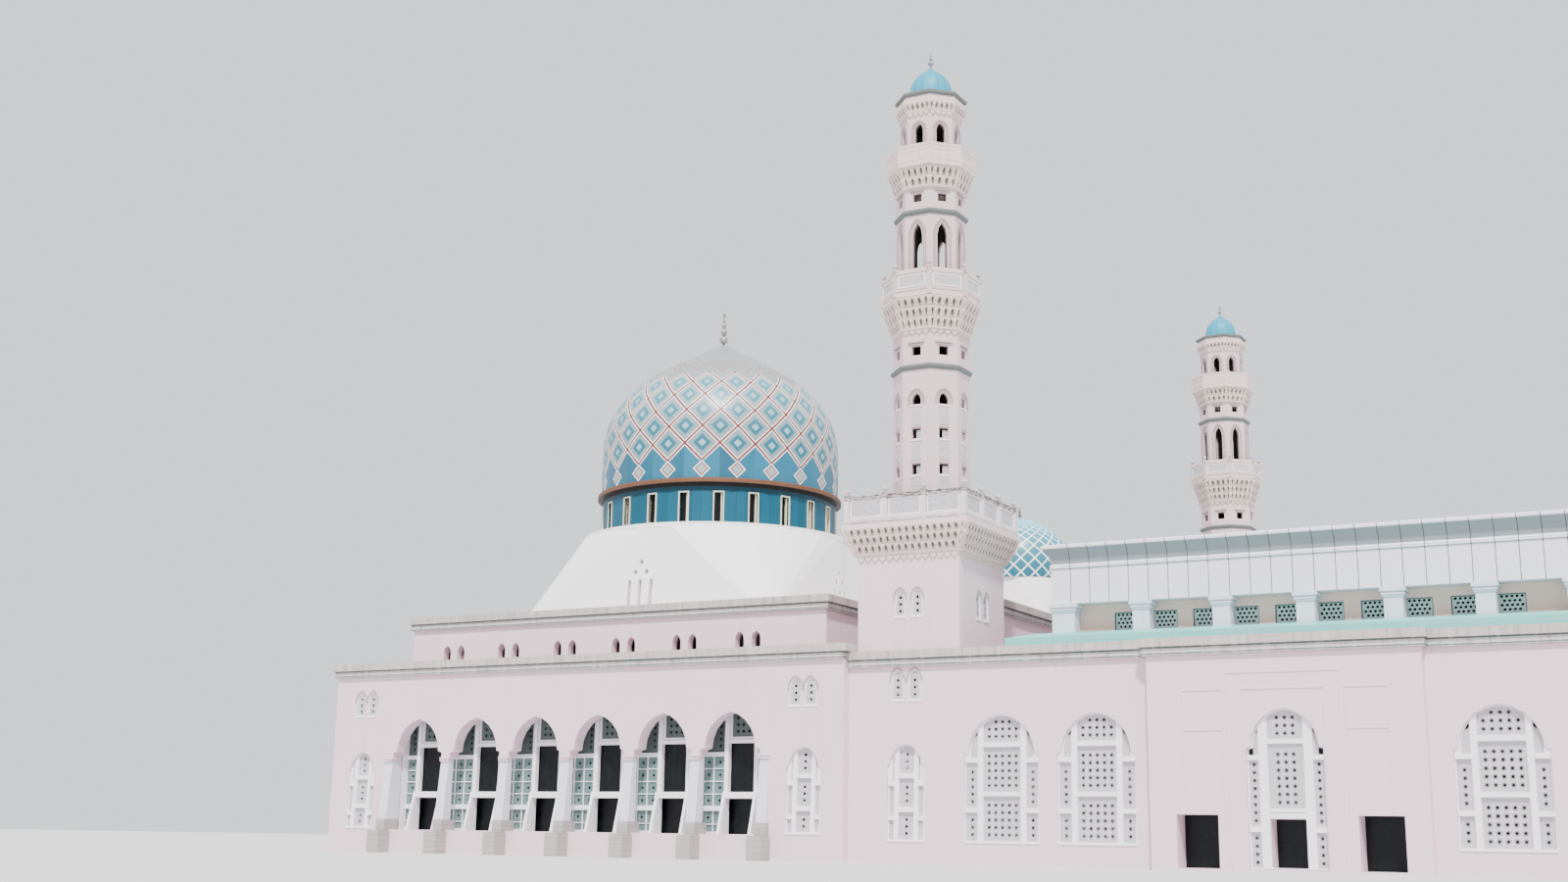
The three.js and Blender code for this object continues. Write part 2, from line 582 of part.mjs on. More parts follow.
function wing() {
  const { left, right, front, back, wall } = WING;
  const centre = ENTRANCE.centre;
  const west = left + GAP;

  const frontPart = (x0, x1, side) => openWall(x0, x1, front, front + wall, GROUND, ROOF_TOP, [
    ...LARGE_WINDOW.fromCentre.map((u) => largeWindow(centre + side * u)),
    ...wingEndWindows(centre, side),
  ]);
  addPiece('wing_front_wall_left', frontPart(west, ENTRANCE.left - GAP, -1), 'wall');
  addPiece('wing_front_wall_right', frontPart(ENTRANCE.right + GAP, right, 1), 'wall');

  const floorTop = GROUND + 0.15;
  const sideDoors = [-1, 1].map((side) => centre + side * SIDE_DOOR.fromCentre).map((x) => rectanglePoints(
    x - SIDE_DOOR.width / 2, x + SIDE_DOOR.width / 2, floorTop, SIDE_DOOR.top));
  const { shoulder, archTop, archHalf, half } = ENTRANCE;
  const mainArch = pointedOpening(centre, floorTop, shoulder, archTop, archHalf, 5, half);
  addPiece('entrance_bay', join([
    openWall(ENTRANCE.left, ENTRANCE.right, ENTRANCE.front, ENTRANCE.front + wall, GROUND, ROOF_TOP,
      [mainArch, ...sideDoors]),
    box(ENTRANCE.left, ENTRANCE.left + wall, ENTRANCE.front, front + wall, GROUND, ROOF_TOP),
    box(ENTRANCE.right - wall, ENTRANCE.right, ENTRANCE.front, front + wall, GROUND, ROOF_TOP),
  ]), 'wall');

  const portal = upright(outline(pointedOpening(centre, floorTop + GAP, shoulder - GAP, archTop - 2 * GAP,
    archHalf - GAP, 5, half - GAP)), ENTRANCE.front + 0.2, ENTRANCE.front + 0.4);
  const doorway = box(centre - MAIN_DOOR.half, centre + MAIN_DOOR.half,
    ENTRANCE.front - 1, ENTRANCE.front + 1, floorTop + 0.1, MAIN_DOOR.top);
  addPiece('entrance_screen', cut(portal, [doorway]), 'screen');

  const backWindows = [...LARGE_WINDOW.fromCentre.flatMap((u) => [-u, u]), 0]
    .map((u) => largeWindow(centre + u));
  addPiece('wing_back_wall', openWall(west, right, back - wall, back, GROUND, ROOF_TOP,
    [...backWindows, ...wingEndWindows(centre, -1), ...wingEndWindows(centre, 1)]), 'wall');

  const y0 = front + wall + GAP;
  const y1 = back - wall - GAP;
  const sidePitch = 6.2;
  const rightWindows = Array.from({ length: 11 }, (_, i) => (y0 + y1) / 2 + (i - 5) * sidePitch);
  addPiece('wing_right_wall', openSideWall(right - wall, right, y0, y1, GROUND, ROOF_TOP,
    rightWindows.map(largeWindow)), 'wall');
  const leftWindows = rightWindows.filter((y) => y > HALL.depth + 4 && y < TOWER.rear.y - TOWER.baseHalf - 3);
  const leftWall = openSideWall(west, west + wall, y0, y1, GROUND, ROOF_TOP, leftWindows.map(largeWindow));
  addPiece('wing_left_wall', cut(leftWall, towerCutters()), 'wall');

  wingGlass(y0, y1);
  wingFloors(y0, y1, floorTop);
  wingParapet();
}

// One thin sheet a storey closes the windows from inside.
const GLASS = { thick: 0.04, top: 9.5, doorTop: 1.6 };

function wingGlass(y0, y1) {
  const foot = GROUND + 0.15 + GAP;
  const outer = WING.right - WING.wall - GAP;
  const inner = outer - GLASS.thick;
  const frontStart = TOWER.front.x + TOWER.baseHalf + 0.1;
  const backStart = TOWER.rear.x + TOWER.baseHalf + 0.1;
  const sheets = plate(outline([[frontStart, y0], [outer, y0], [outer, y1], [backStart, y1],
    [backStart, y1 - GLASS.thick], [inner, y1 - GLASS.thick], [inner, y0 + GLASS.thick],
    [frontStart, y0 + GLASS.thick]]), foot, GLASS.top);
  const doors = box(ENTRANCE.left + 0.45, ENTRANCE.right - 0.45, y0 - 1, y0 + 0.5, foot - 1, GLASS.doorTop);
  addPiece('wing_glass', cut(sheets, [doors]), 'glass');
  const westFace = WING.left + WING.wall + 2 * GAP;
  addPiece('wing_left_glass', box(westFace, westFace + GLASS.thick, HALL.depth + 1,
    TOWER.rear.y - TOWER.baseHalf - 0.1, foot, GLASS.top), 'glass');
}

function wingFloors(y0, y1, floorTop) {
  const x0 = WING.left + WING.wall + 2 * GAP;
  const x1 = WING.right - WING.wall - GAP;
  const [bayLeft, bayRight] = [ENTRANCE.left + WING.wall + GAP, ENTRANCE.right - WING.wall - GAP];
  const bayFront = ENTRANCE.front + WING.wall + GAP;
  const inside = () => outline([[x0, y0], [bayLeft, y0], [bayLeft, bayFront], [bayRight, bayFront],
    [bayRight, y0], [x1, y0], [x1, y1], [x0, y1]]);
  const towers = towerCutters();
  addPiece('wing_floor', cut(plate(inside(), GROUND, floorTop), towers), 'stone');
  const edge = UPPER.recess + UPPER.wall;
  const well = box(UPPER.left + edge, UPPER.right - edge, UPPER.front + edge, upperBack() - edge,
    0, ROOF_TOP + 1);
  addPiece('wing_roof', cut(plate(inside(), ROOF_TOP - SLAB, ROOF_TOP - GAP), [well, ...towers]), 'band');
}

function wingParapet() {
  const { parapetTop, left } = WING;
  const foot = ROOF_TOP + GAP;
  const inner = plate(wingOutline(-WING.wall, -WING.wall - GAP), foot - 1, parapetTop + 1);
  const linkGap = box(left - 1, LINK.right + 0.34, LINK.front - 0.34, clerestoryBack() + 0.34,
    ROOF_TOP, parapetTop + 1);
  addPiece('wing_parapet', cut(join([
    plate(wingOutline(0.2, -GAP), foot, parapetTop - 0.49),
    plate(wingOutline(0.33, -GAP), parapetTop - 0.5, parapetTop),
  ]), [inner, linkGap, ...towerCutters()]), 'band');
}

// Upper storey of the wing: recessed walls with piers, deep eaves and lean-to roofs.
function upperBack() {
  return WING.front + WING.back - UPPER.front;
}

function upperWall(length, pitch, bays, firstBay, cornerPiers) {
  const { recess, wall, soffit, pierWidth, endPier } = UPPER;
  const foot = ROOF_TOP + GAP;
  const holes = [];
  for (let bay = 0; bay < bays; bay += 1) {
    const middle = firstBay + bay * pitch;
    [-1, 1].forEach((side) => {
      const isOuter = cornerPiers && ((bay === 0 && side < 0) || (bay === bays - 1 && side > 0));
      const x = middle + side * UPPER_WINDOW.fromBayCentre;
      const half = UPPER_WINDOW.width / 2;
      if (!isOuter) {
        holes.push(rectanglePoints(x - half, x + half, UPPER_WINDOW.sill, UPPER_WINDOW.top));
      }
    });
  }
  const parts = [openWall(0, length, recess, recess + wall, foot, soffit, holes)];
  for (let i = 1; i < bays; i += 1) {
    const x = firstBay + (i - 0.5) * pitch;
    parts.push(box(x - pierWidth / 2, x + pierWidth / 2, 0.1, recess + 0.1, foot, soffit));
  }
  if (cornerPiers) {
    parts.push(box(0, endPier, 0, recess + wall, foot, soffit));
    parts.push(box(length - endPier, length, 0, recess + wall, foot, soffit));
  }
  return join(parts);
}

function upperStorey() {
  const { left, right, front, recess, wall, endPier, bays, sideBays } = UPPER;
  const back = upperBack();
  const width = right - left;
  const pitch = (width - endPier) / bays;
  const first = (width - pitch * (bays - 1)) / 2;
  const longWall = () => upperWall(width, pitch, bays, first, true);
  addPiece('upper_front_wall', longWall(), 'wall').position.set(left, front, 0);
  const rear = addPiece('upper_back_wall', longWall(), 'wall');
  rear.rotation.z = Math.PI;
  rear.position.set(right, back, 0);
  const start = front + recess + wall + GAP;
  const sideLength = back - front - 2 * (recess + wall + GAP);
  const sidePitch = sideLength / sideBays;
  const side = () => upperWall(sideLength, sidePitch, sideBays, sidePitch / 2, false);
  const leftWall = addPiece('upper_left_wall', side(), 'wall');
  leftWall.rotation.z = -Math.PI / 2;
  leftWall.position.set(left, start + sideLength, 0);
  const rightWall = addPiece('upper_right_wall', side(), 'wall');
  rightWall.rotation.z = Math.PI / 2;
  rightWall.position.set(right, start, 0);

  const { soffit, coveStart, top, coveReach } = UPPER;
  const pane = recess + wall + GAP;
  const paneBox = (reach, z0, z1) => box(left + reach, right - reach, front + reach, back - reach, z0, z1);
  addPiece('upper_glass', cut(paneBox(pane, ROOF_TOP + GAP, soffit - 0.2), [
    paneBox(pane + GLASS.thick, ROOF_TOP - 1, soffit + 1)]), 'glass');

  const rim = recess + wall + 0.1;
  const eaves = join([
    box(left, right, front, back, soffit + GAP, coveStart),
    flaredBox(left, right, front, back, coveStart - 0.001, coveStart + 0.5, 0.12),
    flaredBox(left - 0.12, right + 0.12, front - 0.12, back + 0.12, coveStart + 0.499, top - 0.25,
      coveReach - 0.12),
    box(left - coveReach, right + coveReach, front - coveReach, back + coveReach, top - 0.251, top),
  ]);
  const inside = box(left + rim, right - rim, front + rim, back - rim, soffit - 1, top + 1);
  addPiece('upper_eaves', cut(eaves, [inside]), 'panel');
  const edge = rim + GAP;
  const deckBox = box(left + edge, right - edge, front + edge, back - edge, top - 0.4 - SLAB, top - 0.4);
  addPiece('upper_roof', deckBox, 'panel');

  const { front: leanFront, edgeTop, edge: leanEdge, backTop } = LEAN_TO;
  const foot = ROOF_TOP + GAP;
  const section = [[leanFront, foot], [leanFront + 0.3, foot], [leanFront + 0.3, edgeTop - leanEdge],
    [front - GAP, backTop - leanEdge], [front - GAP, backTop], [leanFront, edgeTop]];
  const leanLeft = left - 1.3;
  const leanRight = right + 1.3;
  addPiece('front_lean_to_roof', profileBar(section, leanLeft, leanRight), 'mintMetal');
  const mirrorY = WING.front + WING.back;
  const rearSection = section.map(([y, z]) => [mirrorY - y, z]).reverse();
  addPiece('back_lean_to_roof', profileBar(rearSection, leanLeft, leanRight), 'mintMetal');
}

// Minaret: hollow square base, terrace, eight-sided shafts with two balconies, lantern and cap.
function turned(geometry, sides, offset = 0) {
  return Array.from({ length: sides }, (_, i) => solid(
    geometry.clone().rotateZ(offset + (i * 2 * Math.PI) / sides)));
}

function throughCutter(points, depth0, depth1) {
  return extrude(outline(points), depth1 - depth0).rotateX(Math.PI / 2).translate(0, -depth0, 0);
}

function faceWindow(width, sill, top, reach) {
  return throughCutter(rectanglePoints(-width / 2, width / 2, sill, top), 1, reach);
}

function minaret(prefix, { x, y }) {
  const tower = new THREE.Group();
  tower.position.set(x, y, 0);
  model.add(tower);
  const add = (name, body, paint) => addPiece(`${prefix}_${name}`, body, paint, tower);
  const { baseHalf: half, baseWall, corbelFrom, deck, deckHalf, railTop } = TOWER;
  const square = (h, z0, z1) => box(-h, h, -h, h, z0, z1);

  const baseWindows = [-0.56, 0.59].flatMap((u) => turned(
    throughCutter(smallOpening(u, 0.84, 13.1, 15.5), 2, 5), 4));
  add('base', cut(join([
    square(half, GROUND, corbelFrom + 0.01),
    square(half + 0.18, corbelFrom, corbelFrom + 0.61),
    square(half + 0.42, corbelFrom + 0.6, corbelFrom + 1.11),
    square(half + 0.62, corbelFrom + 1.1, corbelFrom + 1.61),
    square(deckHalf, corbelFrom + 1.6, deck),
  ]), [square(half - baseWall, GROUND - 1, corbelFrom + 1.2), ...baseWindows]), 'wall');

  const rail = deckHalf - 0.1;
  const posts = [];
  const bays = 3;
  const reach = rail - 0.2;
  for (let i = 0; i < bays; i += 1) {
    const u = -reach + (2 * reach * i) / bays;
    posts.push([u, -reach], [reach, u], [-u, reach], [-reach, -u]);
  }
  const ringOf = (outer, inner, z0, z1) => cut(square(outer, z0, z1), [square(inner, z0 - 1, z1 + 1)]);
  add('terrace_balustrade', join([
    ringOf(rail - 0.12, rail - 0.26, deck + GAP, railTop - 0.1),
    ringOf(rail, rail - 0.38, railTop - 0.2, railTop),
    ...posts.map(([px, py]) => box(px - 0.2, px + 0.2, py - 0.2, py + 0.2, deck + GAP, railTop + 0.06)),
  ]), 'wall');

  const r1 = TOWER.shaft;
  const in1 = r1 - TOWER.shaftWall;
  const lowerTop = 31.55;
  add('lower_shaft', cut(join([
    octagonBand(r1, in1, deck + GAP, lowerTop),
    octagonBand(r1 + 0.13, in1 + 0.1, 29.0, 29.25),
  ]), [
    ...turned(faceWindow(0.62, 22.15, 22.8, 3.2), 8),
    ...turned(faceWindow(0.62, 24.45, 25.1, 3.2), 8),
    ...turned(throughCutter(smallOpening(0, 0.62, 26.65, 27.4), 1, 3.2), 8),
    ...turned(faceWindow(0.62, 29.85, 30.45, 3.2), 8),
  ]), 'wall');

  const deck1 = 33.9;
  const rail1 = 35.39;
  add('lower_balcony', octagonRing([[0, lowerTop + GAP], [2.6, lowerTop + GAP], [2.78, 31.75], [2.78, 32.2],
    [2.98, 32.35], [2.98, 32.85], [3.16, 33.0], [3.16, 33.5], [3.26, 33.6], [3.26, rail1], [3.0, rail1],
    [3.0, deck1], [0, deck1]]), 'wall');

  const r2 = TOWER.midShaft;
  const in2 = r2 - TOWER.shaftWall;
  const midTop = 41.15;
  add('middle_shaft', cut(join([
    octagonBand(r2, in2, deck1 + GAP, midTop),
    octagonBand(r2 + 0.13, in2 + 0.1, 39.4, 39.62),
  ]), [
    ...turned(throughCutter(pointedOpening(0, 34.5, 37.9, 38.77, 0.34, 2), 1, 3), 8),
    ...turned(faceWindow(0.6, 40.2, 40.75, 3), 8),
  ]), 'wall');

  const deck2 = 42.75;
  add('upper_balcony', octagonRing([[0, midTop + GAP], [2.4, midTop + GAP], [2.56, 41.35], [2.56, 41.8],
    [2.75, 41.95], [2.75, 42.4], [2.9, 42.55], [2.9, 44.0], [2.68, 44.0], [2.68, deck2], [0, deck2]]),
  'wall');

  const r3 = TOWER.lantern;
  const in3 = r3 - 0.4;
  const capFoot = 47.9;
  add('lantern', cut(octagonRing([[r3, deck2 + GAP], [r3, 46.3], [2.12, 46.5], [2.12, 46.9], [2.26, 47.05],
    [2.26, 47.5], [2.21, 47.55], [2.21, capFoot], [0, capFoot], [0, 46.4], [in3, 46.2], [in3, deck2 + GAP],
    [r3, deck2 + GAP]]),
  turned(throughCutter(smallOpening(0, 0.6, 43.5, 45.7), 1, 3), 8)), 'wall');

  add('cap', lathe([[0, capFoot + GAP], [1.46, capFoot + GAP], [1.43, 48.5], [1.33, 48.95], [1.15, 49.35],
    [0.8, 49.76], [0.4, 50.05], [0.1, 50.3], [0.2, 50.65], [0.06, 50.85], [0.15, 51.0], [0, 51.65]], 12),
  'skyBlue');
}

hall();
clerestory();
mainDome();
smallDome();
wing();
upperStorey();
minaret('front_minaret', TOWER.front);
minaret('rear_minaret', TOWER.rear);

// Origin: the middle of the footprint, at ground level.
const footprint = {
  left: -PIER.footingFront,
  right: WING.right + 0.33,
  front: -PIER.footingFront,
  back: WING.back + 0.33,
};
model.position.set(-(footprint.left + footprint.right) / 2, -(footprint.front + footprint.back) / 2, -GROUND);
const scaled = new THREE.Group();
scaled.scale.setScalar(MODEL_SCALE);
scaled.add(model);

export default scaled;
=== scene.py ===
"""Looks of the large domed mosque: tiles, screens, mouldings, balustrades and paint.

New pieces are drawn in metres of the full-size building, as the part's source is, with
X along the front, Y into the building and Z up. set_piece() brings each to the 1:10 model.
"""
import json
import math

import bmesh
import bpy
from bpy.props import FloatProperty, FloatVectorProperty, IntProperty, PointerProperty
from mathutils import Matrix, Vector

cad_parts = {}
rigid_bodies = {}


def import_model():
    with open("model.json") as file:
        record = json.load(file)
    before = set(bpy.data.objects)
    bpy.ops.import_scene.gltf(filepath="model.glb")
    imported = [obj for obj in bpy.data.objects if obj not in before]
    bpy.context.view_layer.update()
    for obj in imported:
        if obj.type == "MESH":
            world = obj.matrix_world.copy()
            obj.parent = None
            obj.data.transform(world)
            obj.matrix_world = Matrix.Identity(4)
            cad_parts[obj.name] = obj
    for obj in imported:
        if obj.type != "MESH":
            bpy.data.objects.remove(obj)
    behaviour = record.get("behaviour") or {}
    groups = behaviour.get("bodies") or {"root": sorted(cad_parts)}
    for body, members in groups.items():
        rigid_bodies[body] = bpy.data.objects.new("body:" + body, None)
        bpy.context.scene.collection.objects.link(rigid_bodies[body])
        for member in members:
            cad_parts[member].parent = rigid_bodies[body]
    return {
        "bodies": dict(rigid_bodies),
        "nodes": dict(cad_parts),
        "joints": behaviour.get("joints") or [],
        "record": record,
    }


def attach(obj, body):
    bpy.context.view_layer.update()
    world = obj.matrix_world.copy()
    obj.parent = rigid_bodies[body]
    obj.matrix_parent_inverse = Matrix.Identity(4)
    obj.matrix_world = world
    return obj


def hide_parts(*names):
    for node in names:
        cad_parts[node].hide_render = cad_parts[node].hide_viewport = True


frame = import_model()

bl_info = {
    "name": "Domed mosque",
    "version": (1, 0, 0),
    "blender": (4, 5, 0),
    "location": "3D View > Sidebar > Mosque",
    "description": "Builds the tiles, screens, mouldings and paint of a domed mosque",
    "category": "Object",
}


def at(x, y, z=0.0):
    """A move to a place."""
    return Matrix.Translation((x, y, z))


def turned(angle):
    """A turn about the upright axis."""
    return Matrix.Rotation(angle, 4, "Z")


def rectangle(x0, x1, z0, z1):
    """The corners of an upright rectangle."""
    return [(x0, z0), (x1, z0), (x1, z1), (x0, z1)]


# The drawing's point that is the model's origin, and the model's scale.
MIDDLE_X, MIDDLE_Y, GROUND = 46.525, 36.215, -1.57
SCALE = 0.1
TO_MODEL = Matrix.Scale(SCALE, 4) @ at(-MIDDLE_X, -MIDDLE_Y, -GROUND)

# Plan sizes of the building, in metres; a WALL is a thickness.
HALL_WIDTH, HALL_DEPTH, HALL_WALL = 41.08, 36.75, 0.953
HALL_SIDE = HALL_DEPTH - 2 * HALL_WALL
ARCH_PITCH, FIRST_ARCH = 5.065, 7.74
WING_RIGHT, WING_BACK, WING_FRONT, WING_WALL = 93.92, 73.3, 0.65, 0.503
BAY_FRONT, BAY_CENTRE = -0.05, 67.5
DOME_X, DOME_Y, DOME_TURN = 20.54, 18.375, math.radians(-1.6)
SMALL_X, SMALL_Y = 42.7, 24.65
TOWERS = {"front": (44.82, 4.63), "rear": (45.84, 69.28)}
UPPER = {"left": 52.22, "right": 82.78, "front": 6.12, "back": 67.83}
UPPER_WALL, UPPER_CORNER, UPPER_RECESS = 1.503, 1.45, 0.98

# The domes: flats of the drum, and tile columns of the small dome.
DRUM_SIDES, SMALL_COLUMNS = 22, 24

# The minarets: sides, corner radii of the shafts, and half the width of the base.
BASE_SIDES, SHAFT_SIDES = 4, 8
LOWER_SHAFT, MIDDLE_SHAFT, LANTERN = 2.45, 2.27, 2.02
BASE_HALF = 3.42
OCTAGON = math.cos(math.pi / SHAFT_SIDES)

# The arcade's screens: how far back they end, their foot and their top.
ARCADE_BACK, ARCADE_FOOT, ARCADE_TOP = 1.8, 0.004, 7.75

# How much of a hole's width its cut corners take.
CORNER_CUT = 0.28

# Height of the doors' sill at the entrance, and the pitch of the small holes in thin panels.
DOOR_FOOT, PANEL_PITCH = -1.41, 0.42

# Bands of a pier capital on the upper storey: how far out, from, to.
CAPITAL_BANDS = ((0.07, 13.52, 13.62), (0.12, 13.62, 13.74), (0.08, 13.74, 13.8),
    (0.18, 13.8, 14.035))

# Places where a part drawn as a front belongs: the hall's sides, seen from outside.
HALL_FRONT = Matrix.Identity(4)
HALL_LEFT = at(0, HALL_DEPTH - HALL_WALL) @ turned(-math.pi / 2)
HALL_BACK = at(HALL_WIDTH, HALL_DEPTH) @ turned(math.pi)


def tint(code):
    """A paint's hex code as linear red, green and blue."""
    values = [int(code[i:i + 2], 16) / 255 for i in (0, 2, 4)]
    return tuple(v / 12.92 if v <= 0.04045 else ((v + 0.055) / 1.055) ** 2.4 for v in values)


def paint_property(name, code):
    """A colour that a user may change."""
    return FloatVectorProperty(name=name, description=name + ", as seen in plain daylight",
        subtype="COLOR", size=3, min=0, max=1, default=tint(code))


class MosquePaints(bpy.types.PropertyGroup):
    """Colours of the building."""
    wall: paint_property("Wall paint", "E7CFD8")
    pier: paint_property("Pier paint", "DADAE6")
    roof: paint_property("Roof paint", "FAF6F8")
    # Painted shade: the dark lines in the grooves of the parapets.
    parapet: paint_property("Parapet render", "B9AFAF")
    groove_shade: paint_property("Parapet groove", "5F6B68")
    screen: paint_property("Screen paint", "F8F4F9")
    stone: paint_property("Plinth stone", "A9A5A1")
    teal: paint_property("Drum tile", "04566E")
    silver: paint_property("Dome tile", "7F9599")
    copper: paint_property("Copper band", "6E4A36")
    sky: paint_property("Light blue tile", "359BB8")
    fascia: paint_property("Fascia panel", "EDE6EF")
    cove: paint_property("Cove panel", "8D9197")
    mint: paint_property("Mint roof sheet", "7ED0C8")
    recess: paint_property("Recessed wall", "E8C6BC")


class MosqueSizes(bpy.types.PropertyGroup):
    """Sizes of the details, in metres of the full-size building."""
    lattice_pitch: FloatProperty(name="Lattice pitch",
        description="Distance between the large holes of a screen", default=0.42, min=0.2, max=1.0,
        unit="LENGTH")
    joint_pitch: FloatProperty(name="Fascia joints", description="Width of one fascia panel",
        default=1.2, min=0.5, max=3.0, unit="LENGTH")
    dome_steps: IntProperty(name="Dome steps", description="Flats round the main dome", default=88,
        min=44, max=176)
    niche_pitch: FloatProperty(name="Niche pitch", description="Width of one niche under a balcony",
        default=0.46, min=0.3, max=0.8, unit="LENGTH")


def paints():
    """The colours in use."""
    return bpy.context.scene.mosque_paints


def paint(name, share=1.0):
    """One of the colours in use, darker with a share below 1."""
    return tuple(c * share for c in getattr(paints(), name))


def sizes():
    """The sizes in use."""
    return bpy.context.scene.mosque_sizes


# ---- modelling by operators ----

def activate(*objects):
    """Selects only these objects, the first one active."""
    bpy.ops.object.select_all(action="DESELECT")
    for item in objects:
        item.select_set(True)
    bpy.context.view_layer.objects.active = objects[0]


def edit(obj, kind="VERT"):
    """Opens a mesh for editing with everything selected."""
    activate(obj)
    bpy.ops.object.mode_set(mode="EDIT")
    bpy.ops.mesh.select_mode(type=kind)
    bpy.ops.mesh.select_all(action="SELECT")


def done():
    """Closes the mesh that is edited."""
    bpy.ops.object.mode_set(mode="OBJECT")


def pick(obj, kind, test):
    """In edit mode, selects only the vertices, edges or faces that pass the test."""
    bpy.ops.mesh.select_mode(type=kind)
    bpy.ops.mesh.select_all(action="DESELECT")
    mesh = bmesh.from_edit_mesh(obj.data)
    for item in {"VERT": mesh.verts, "EDGE": mesh.edges, "FACE": mesh.faces}[kind]:
        if test(item):
            item.select_set(True)
    mesh.select_flush_mode()
    bmesh.update_edit_mesh(obj.data)


def outward(obj):
    """In edit mode, closes doubles and turns all faces outwards."""
    bpy.ops.mesh.select_all(action="SELECT")
    bpy.ops.mesh.remove_doubles(threshold=1e-4)
    bpy.ops.mesh.normals_make_consistent(inside=False)
    done()
    return obj


def trace(points, closed=True, filled=True):
    """An outline drawn point by point; stays in edit mode with all selected."""
    points = [Vector(p) for p in points]
    bpy.ops.object.select_all(action="DESELECT")
    bpy.ops.mesh.primitive_plane_add(size=0.1, location=points[0])
    obj = bpy.context.object
    bpy.ops.object.transform_apply(location=True, rotation=False, scale=False)
    edit(obj)
    bpy.ops.mesh.merge(type="CENTER")
    for here, there in zip(points, points[1:]):
        bpy.ops.mesh.extrude_vertices_move(TRANSFORM_OT_translate={"value": there - here})
    bpy.ops.mesh.select_all(action="SELECT")
    if closed and filled:
        bpy.ops.mesh.edge_face_add()
    elif closed:
        ends = (points[0], points[-1])
        pick(obj, "VERT", lambda v: any((v.co - e).length < 1e-4 for e in ends))
        bpy.ops.mesh.edge_face_add()
        bpy.ops.mesh.select_all(action="SELECT")
    return obj


def thicken(obj, shift):
    """In edit mode, gives all faces a thickness and closes the mesh."""
    bpy.ops.mesh.select_all(action="SELECT")
    bpy.ops.mesh.extrude_region_move(TRANSFORM_OT_translate={"value": shift})
    return outward(obj)


def prism(points, shift):
    """A flat outline given a thickness."""
    return thicken(trace(points), shift)


def ring_prism(points, width, shift):
    """A frame of one width inside an outline, given a thickness."""
    obj = trace(points)
    bpy.ops.mesh.inset(thickness=width)
    bpy.ops.mesh.delete(type="FACE")
    return thicken(obj, shift)


def bar(x0, x1, y0, y1, z0, z1, edge=0.015):
    """A straight bar with eased edges."""
    bpy.ops.object.select_all(action="DESELECT")
    bpy.ops.mesh.primitive_cube_add(size=1, location=((x0 + x1) / 2, (y0 + y1) / 2, (z0 + z1) / 2),
        scale=(x1 - x0, y1 - y0, z1 - z0))
    obj = bpy.context.object
    bpy.ops.object.transform_apply(location=True, rotation=True, scale=True)
    edit(obj, "EDGE")
    bpy.ops.mesh.bevel(offset=edge, affect="EDGES")
    done()
    return obj


def lathe(profile, steps, x=0, y=0):
    """A turned shape from a line of radius and height."""
    obj = trace([(x + r, y, z) for r, z in profile], closed=False)
    bpy.ops.mesh.spin(steps=steps, angle=math.tau, center=(x, y, 0), axis=(0, 0, 1))
    return outward(obj)


def smooth(obj, degrees=35):
    """Smooth shading, with edges kept where the shape turns."""
    activate(obj)
    bpy.ops.object.shade_smooth_by_angle(angle=math.radians(degrees))
    return obj


def joined(parts):
    """Several parts as one mesh."""
    if len(parts) > 1:
        activate(*parts)
        bpy.ops.object.join()
    return parts[0]


def duplicate(template, place=None):
    """A copy with its own mesh, moved to a place."""
    copy = template.copy()
    copy.data = template.data.copy()
    if place is not None:
        copy.data.transform(place)
    bpy.context.scene.collection.objects.link(copy)
    return copy


def copies(template, places):
    """One part set out at several places, each copy with its own mesh, joined into one."""
    made = [duplicate(template, place) for place in places]
    bpy.data.objects.remove(template)
    return joined(made)


def around(template, count, x=0, y=0, first=0.0):
    """One part repeated round an upright axis."""
    centre = at(x, y)
    return copies(template, [centre @ turned(first + i * math.tau / count) for i in range(count)])


def set_piece(obj, name, look, replaced=()):
    """Moves a finished part to the model's place and scale, paints it and parents it to the root
    body.
    """
    obj.name = name
    obj.data.name = name
    obj.data.transform(TO_MODEL)
    obj.data.materials.clear()
    obj.data.materials.append(finish(look))
    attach(obj, "root")
    if replaced:
        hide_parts(*replaced)
    return obj


def arch_curve(half, spring, apex, steps):
    """The right half of a pointed arch, from its springing up to its apex."""
    rise = apex - spring
    radius = (rise * rise + half * half) / (2 * half)
    end = math.atan2(rise, radius - half)
    return [(half - radius + radius * math.cos(end * i / steps),
        spring + radius * math.sin(end * i / steps)) for i in range(steps + 1)]


def arch_points(x, sill, spring, apex, half, steps, wide=None):
    """The outline of an opening with a pointed head, as X and Z."""
    wide = wide or half
    side = [(half, sill)] if wide == half else [(wide, sill), (wide, spring - 0.1)]
    right = side + arch_curve(half, spring, apex, steps)
    left = [(-u, z) for u, z in reversed(right[:-1])]
    return [(x + u, z) for u, z in right + left]


def arch_band(half, thick, spring, apex, foot, y, depth, steps=6):
    """A moulding that follows a pointed arch and runs down to foot on both sides."""
    def line(reach, top):
        right = [(reach, foot)] + arch_curve(reach, spring, top, steps)
        return right + [(-u, z) for u, z in reversed(right[:-1])]
    outline = line(half + thick, apex + thick * 1.25) + list(reversed(line(half, apex)))
    return prism([(u, y, z) for u, z in outline], (0, depth, 0))


def pierce(obj, test, margin, corner):
    """In edit mode, cuts an eight-sided hole into each face that passes the test."""
    pick(obj, "FACE", test)
    bpy.ops.mesh.inset(thickness=margin, use_individual=True)
    bpy.ops.mesh.bevel(offset=corner, affect="VERTICES")
    pick(obj, "FACE", lambda f: len(f.verts) == 8)
    bpy.ops.mesh.delete(type="FACE")


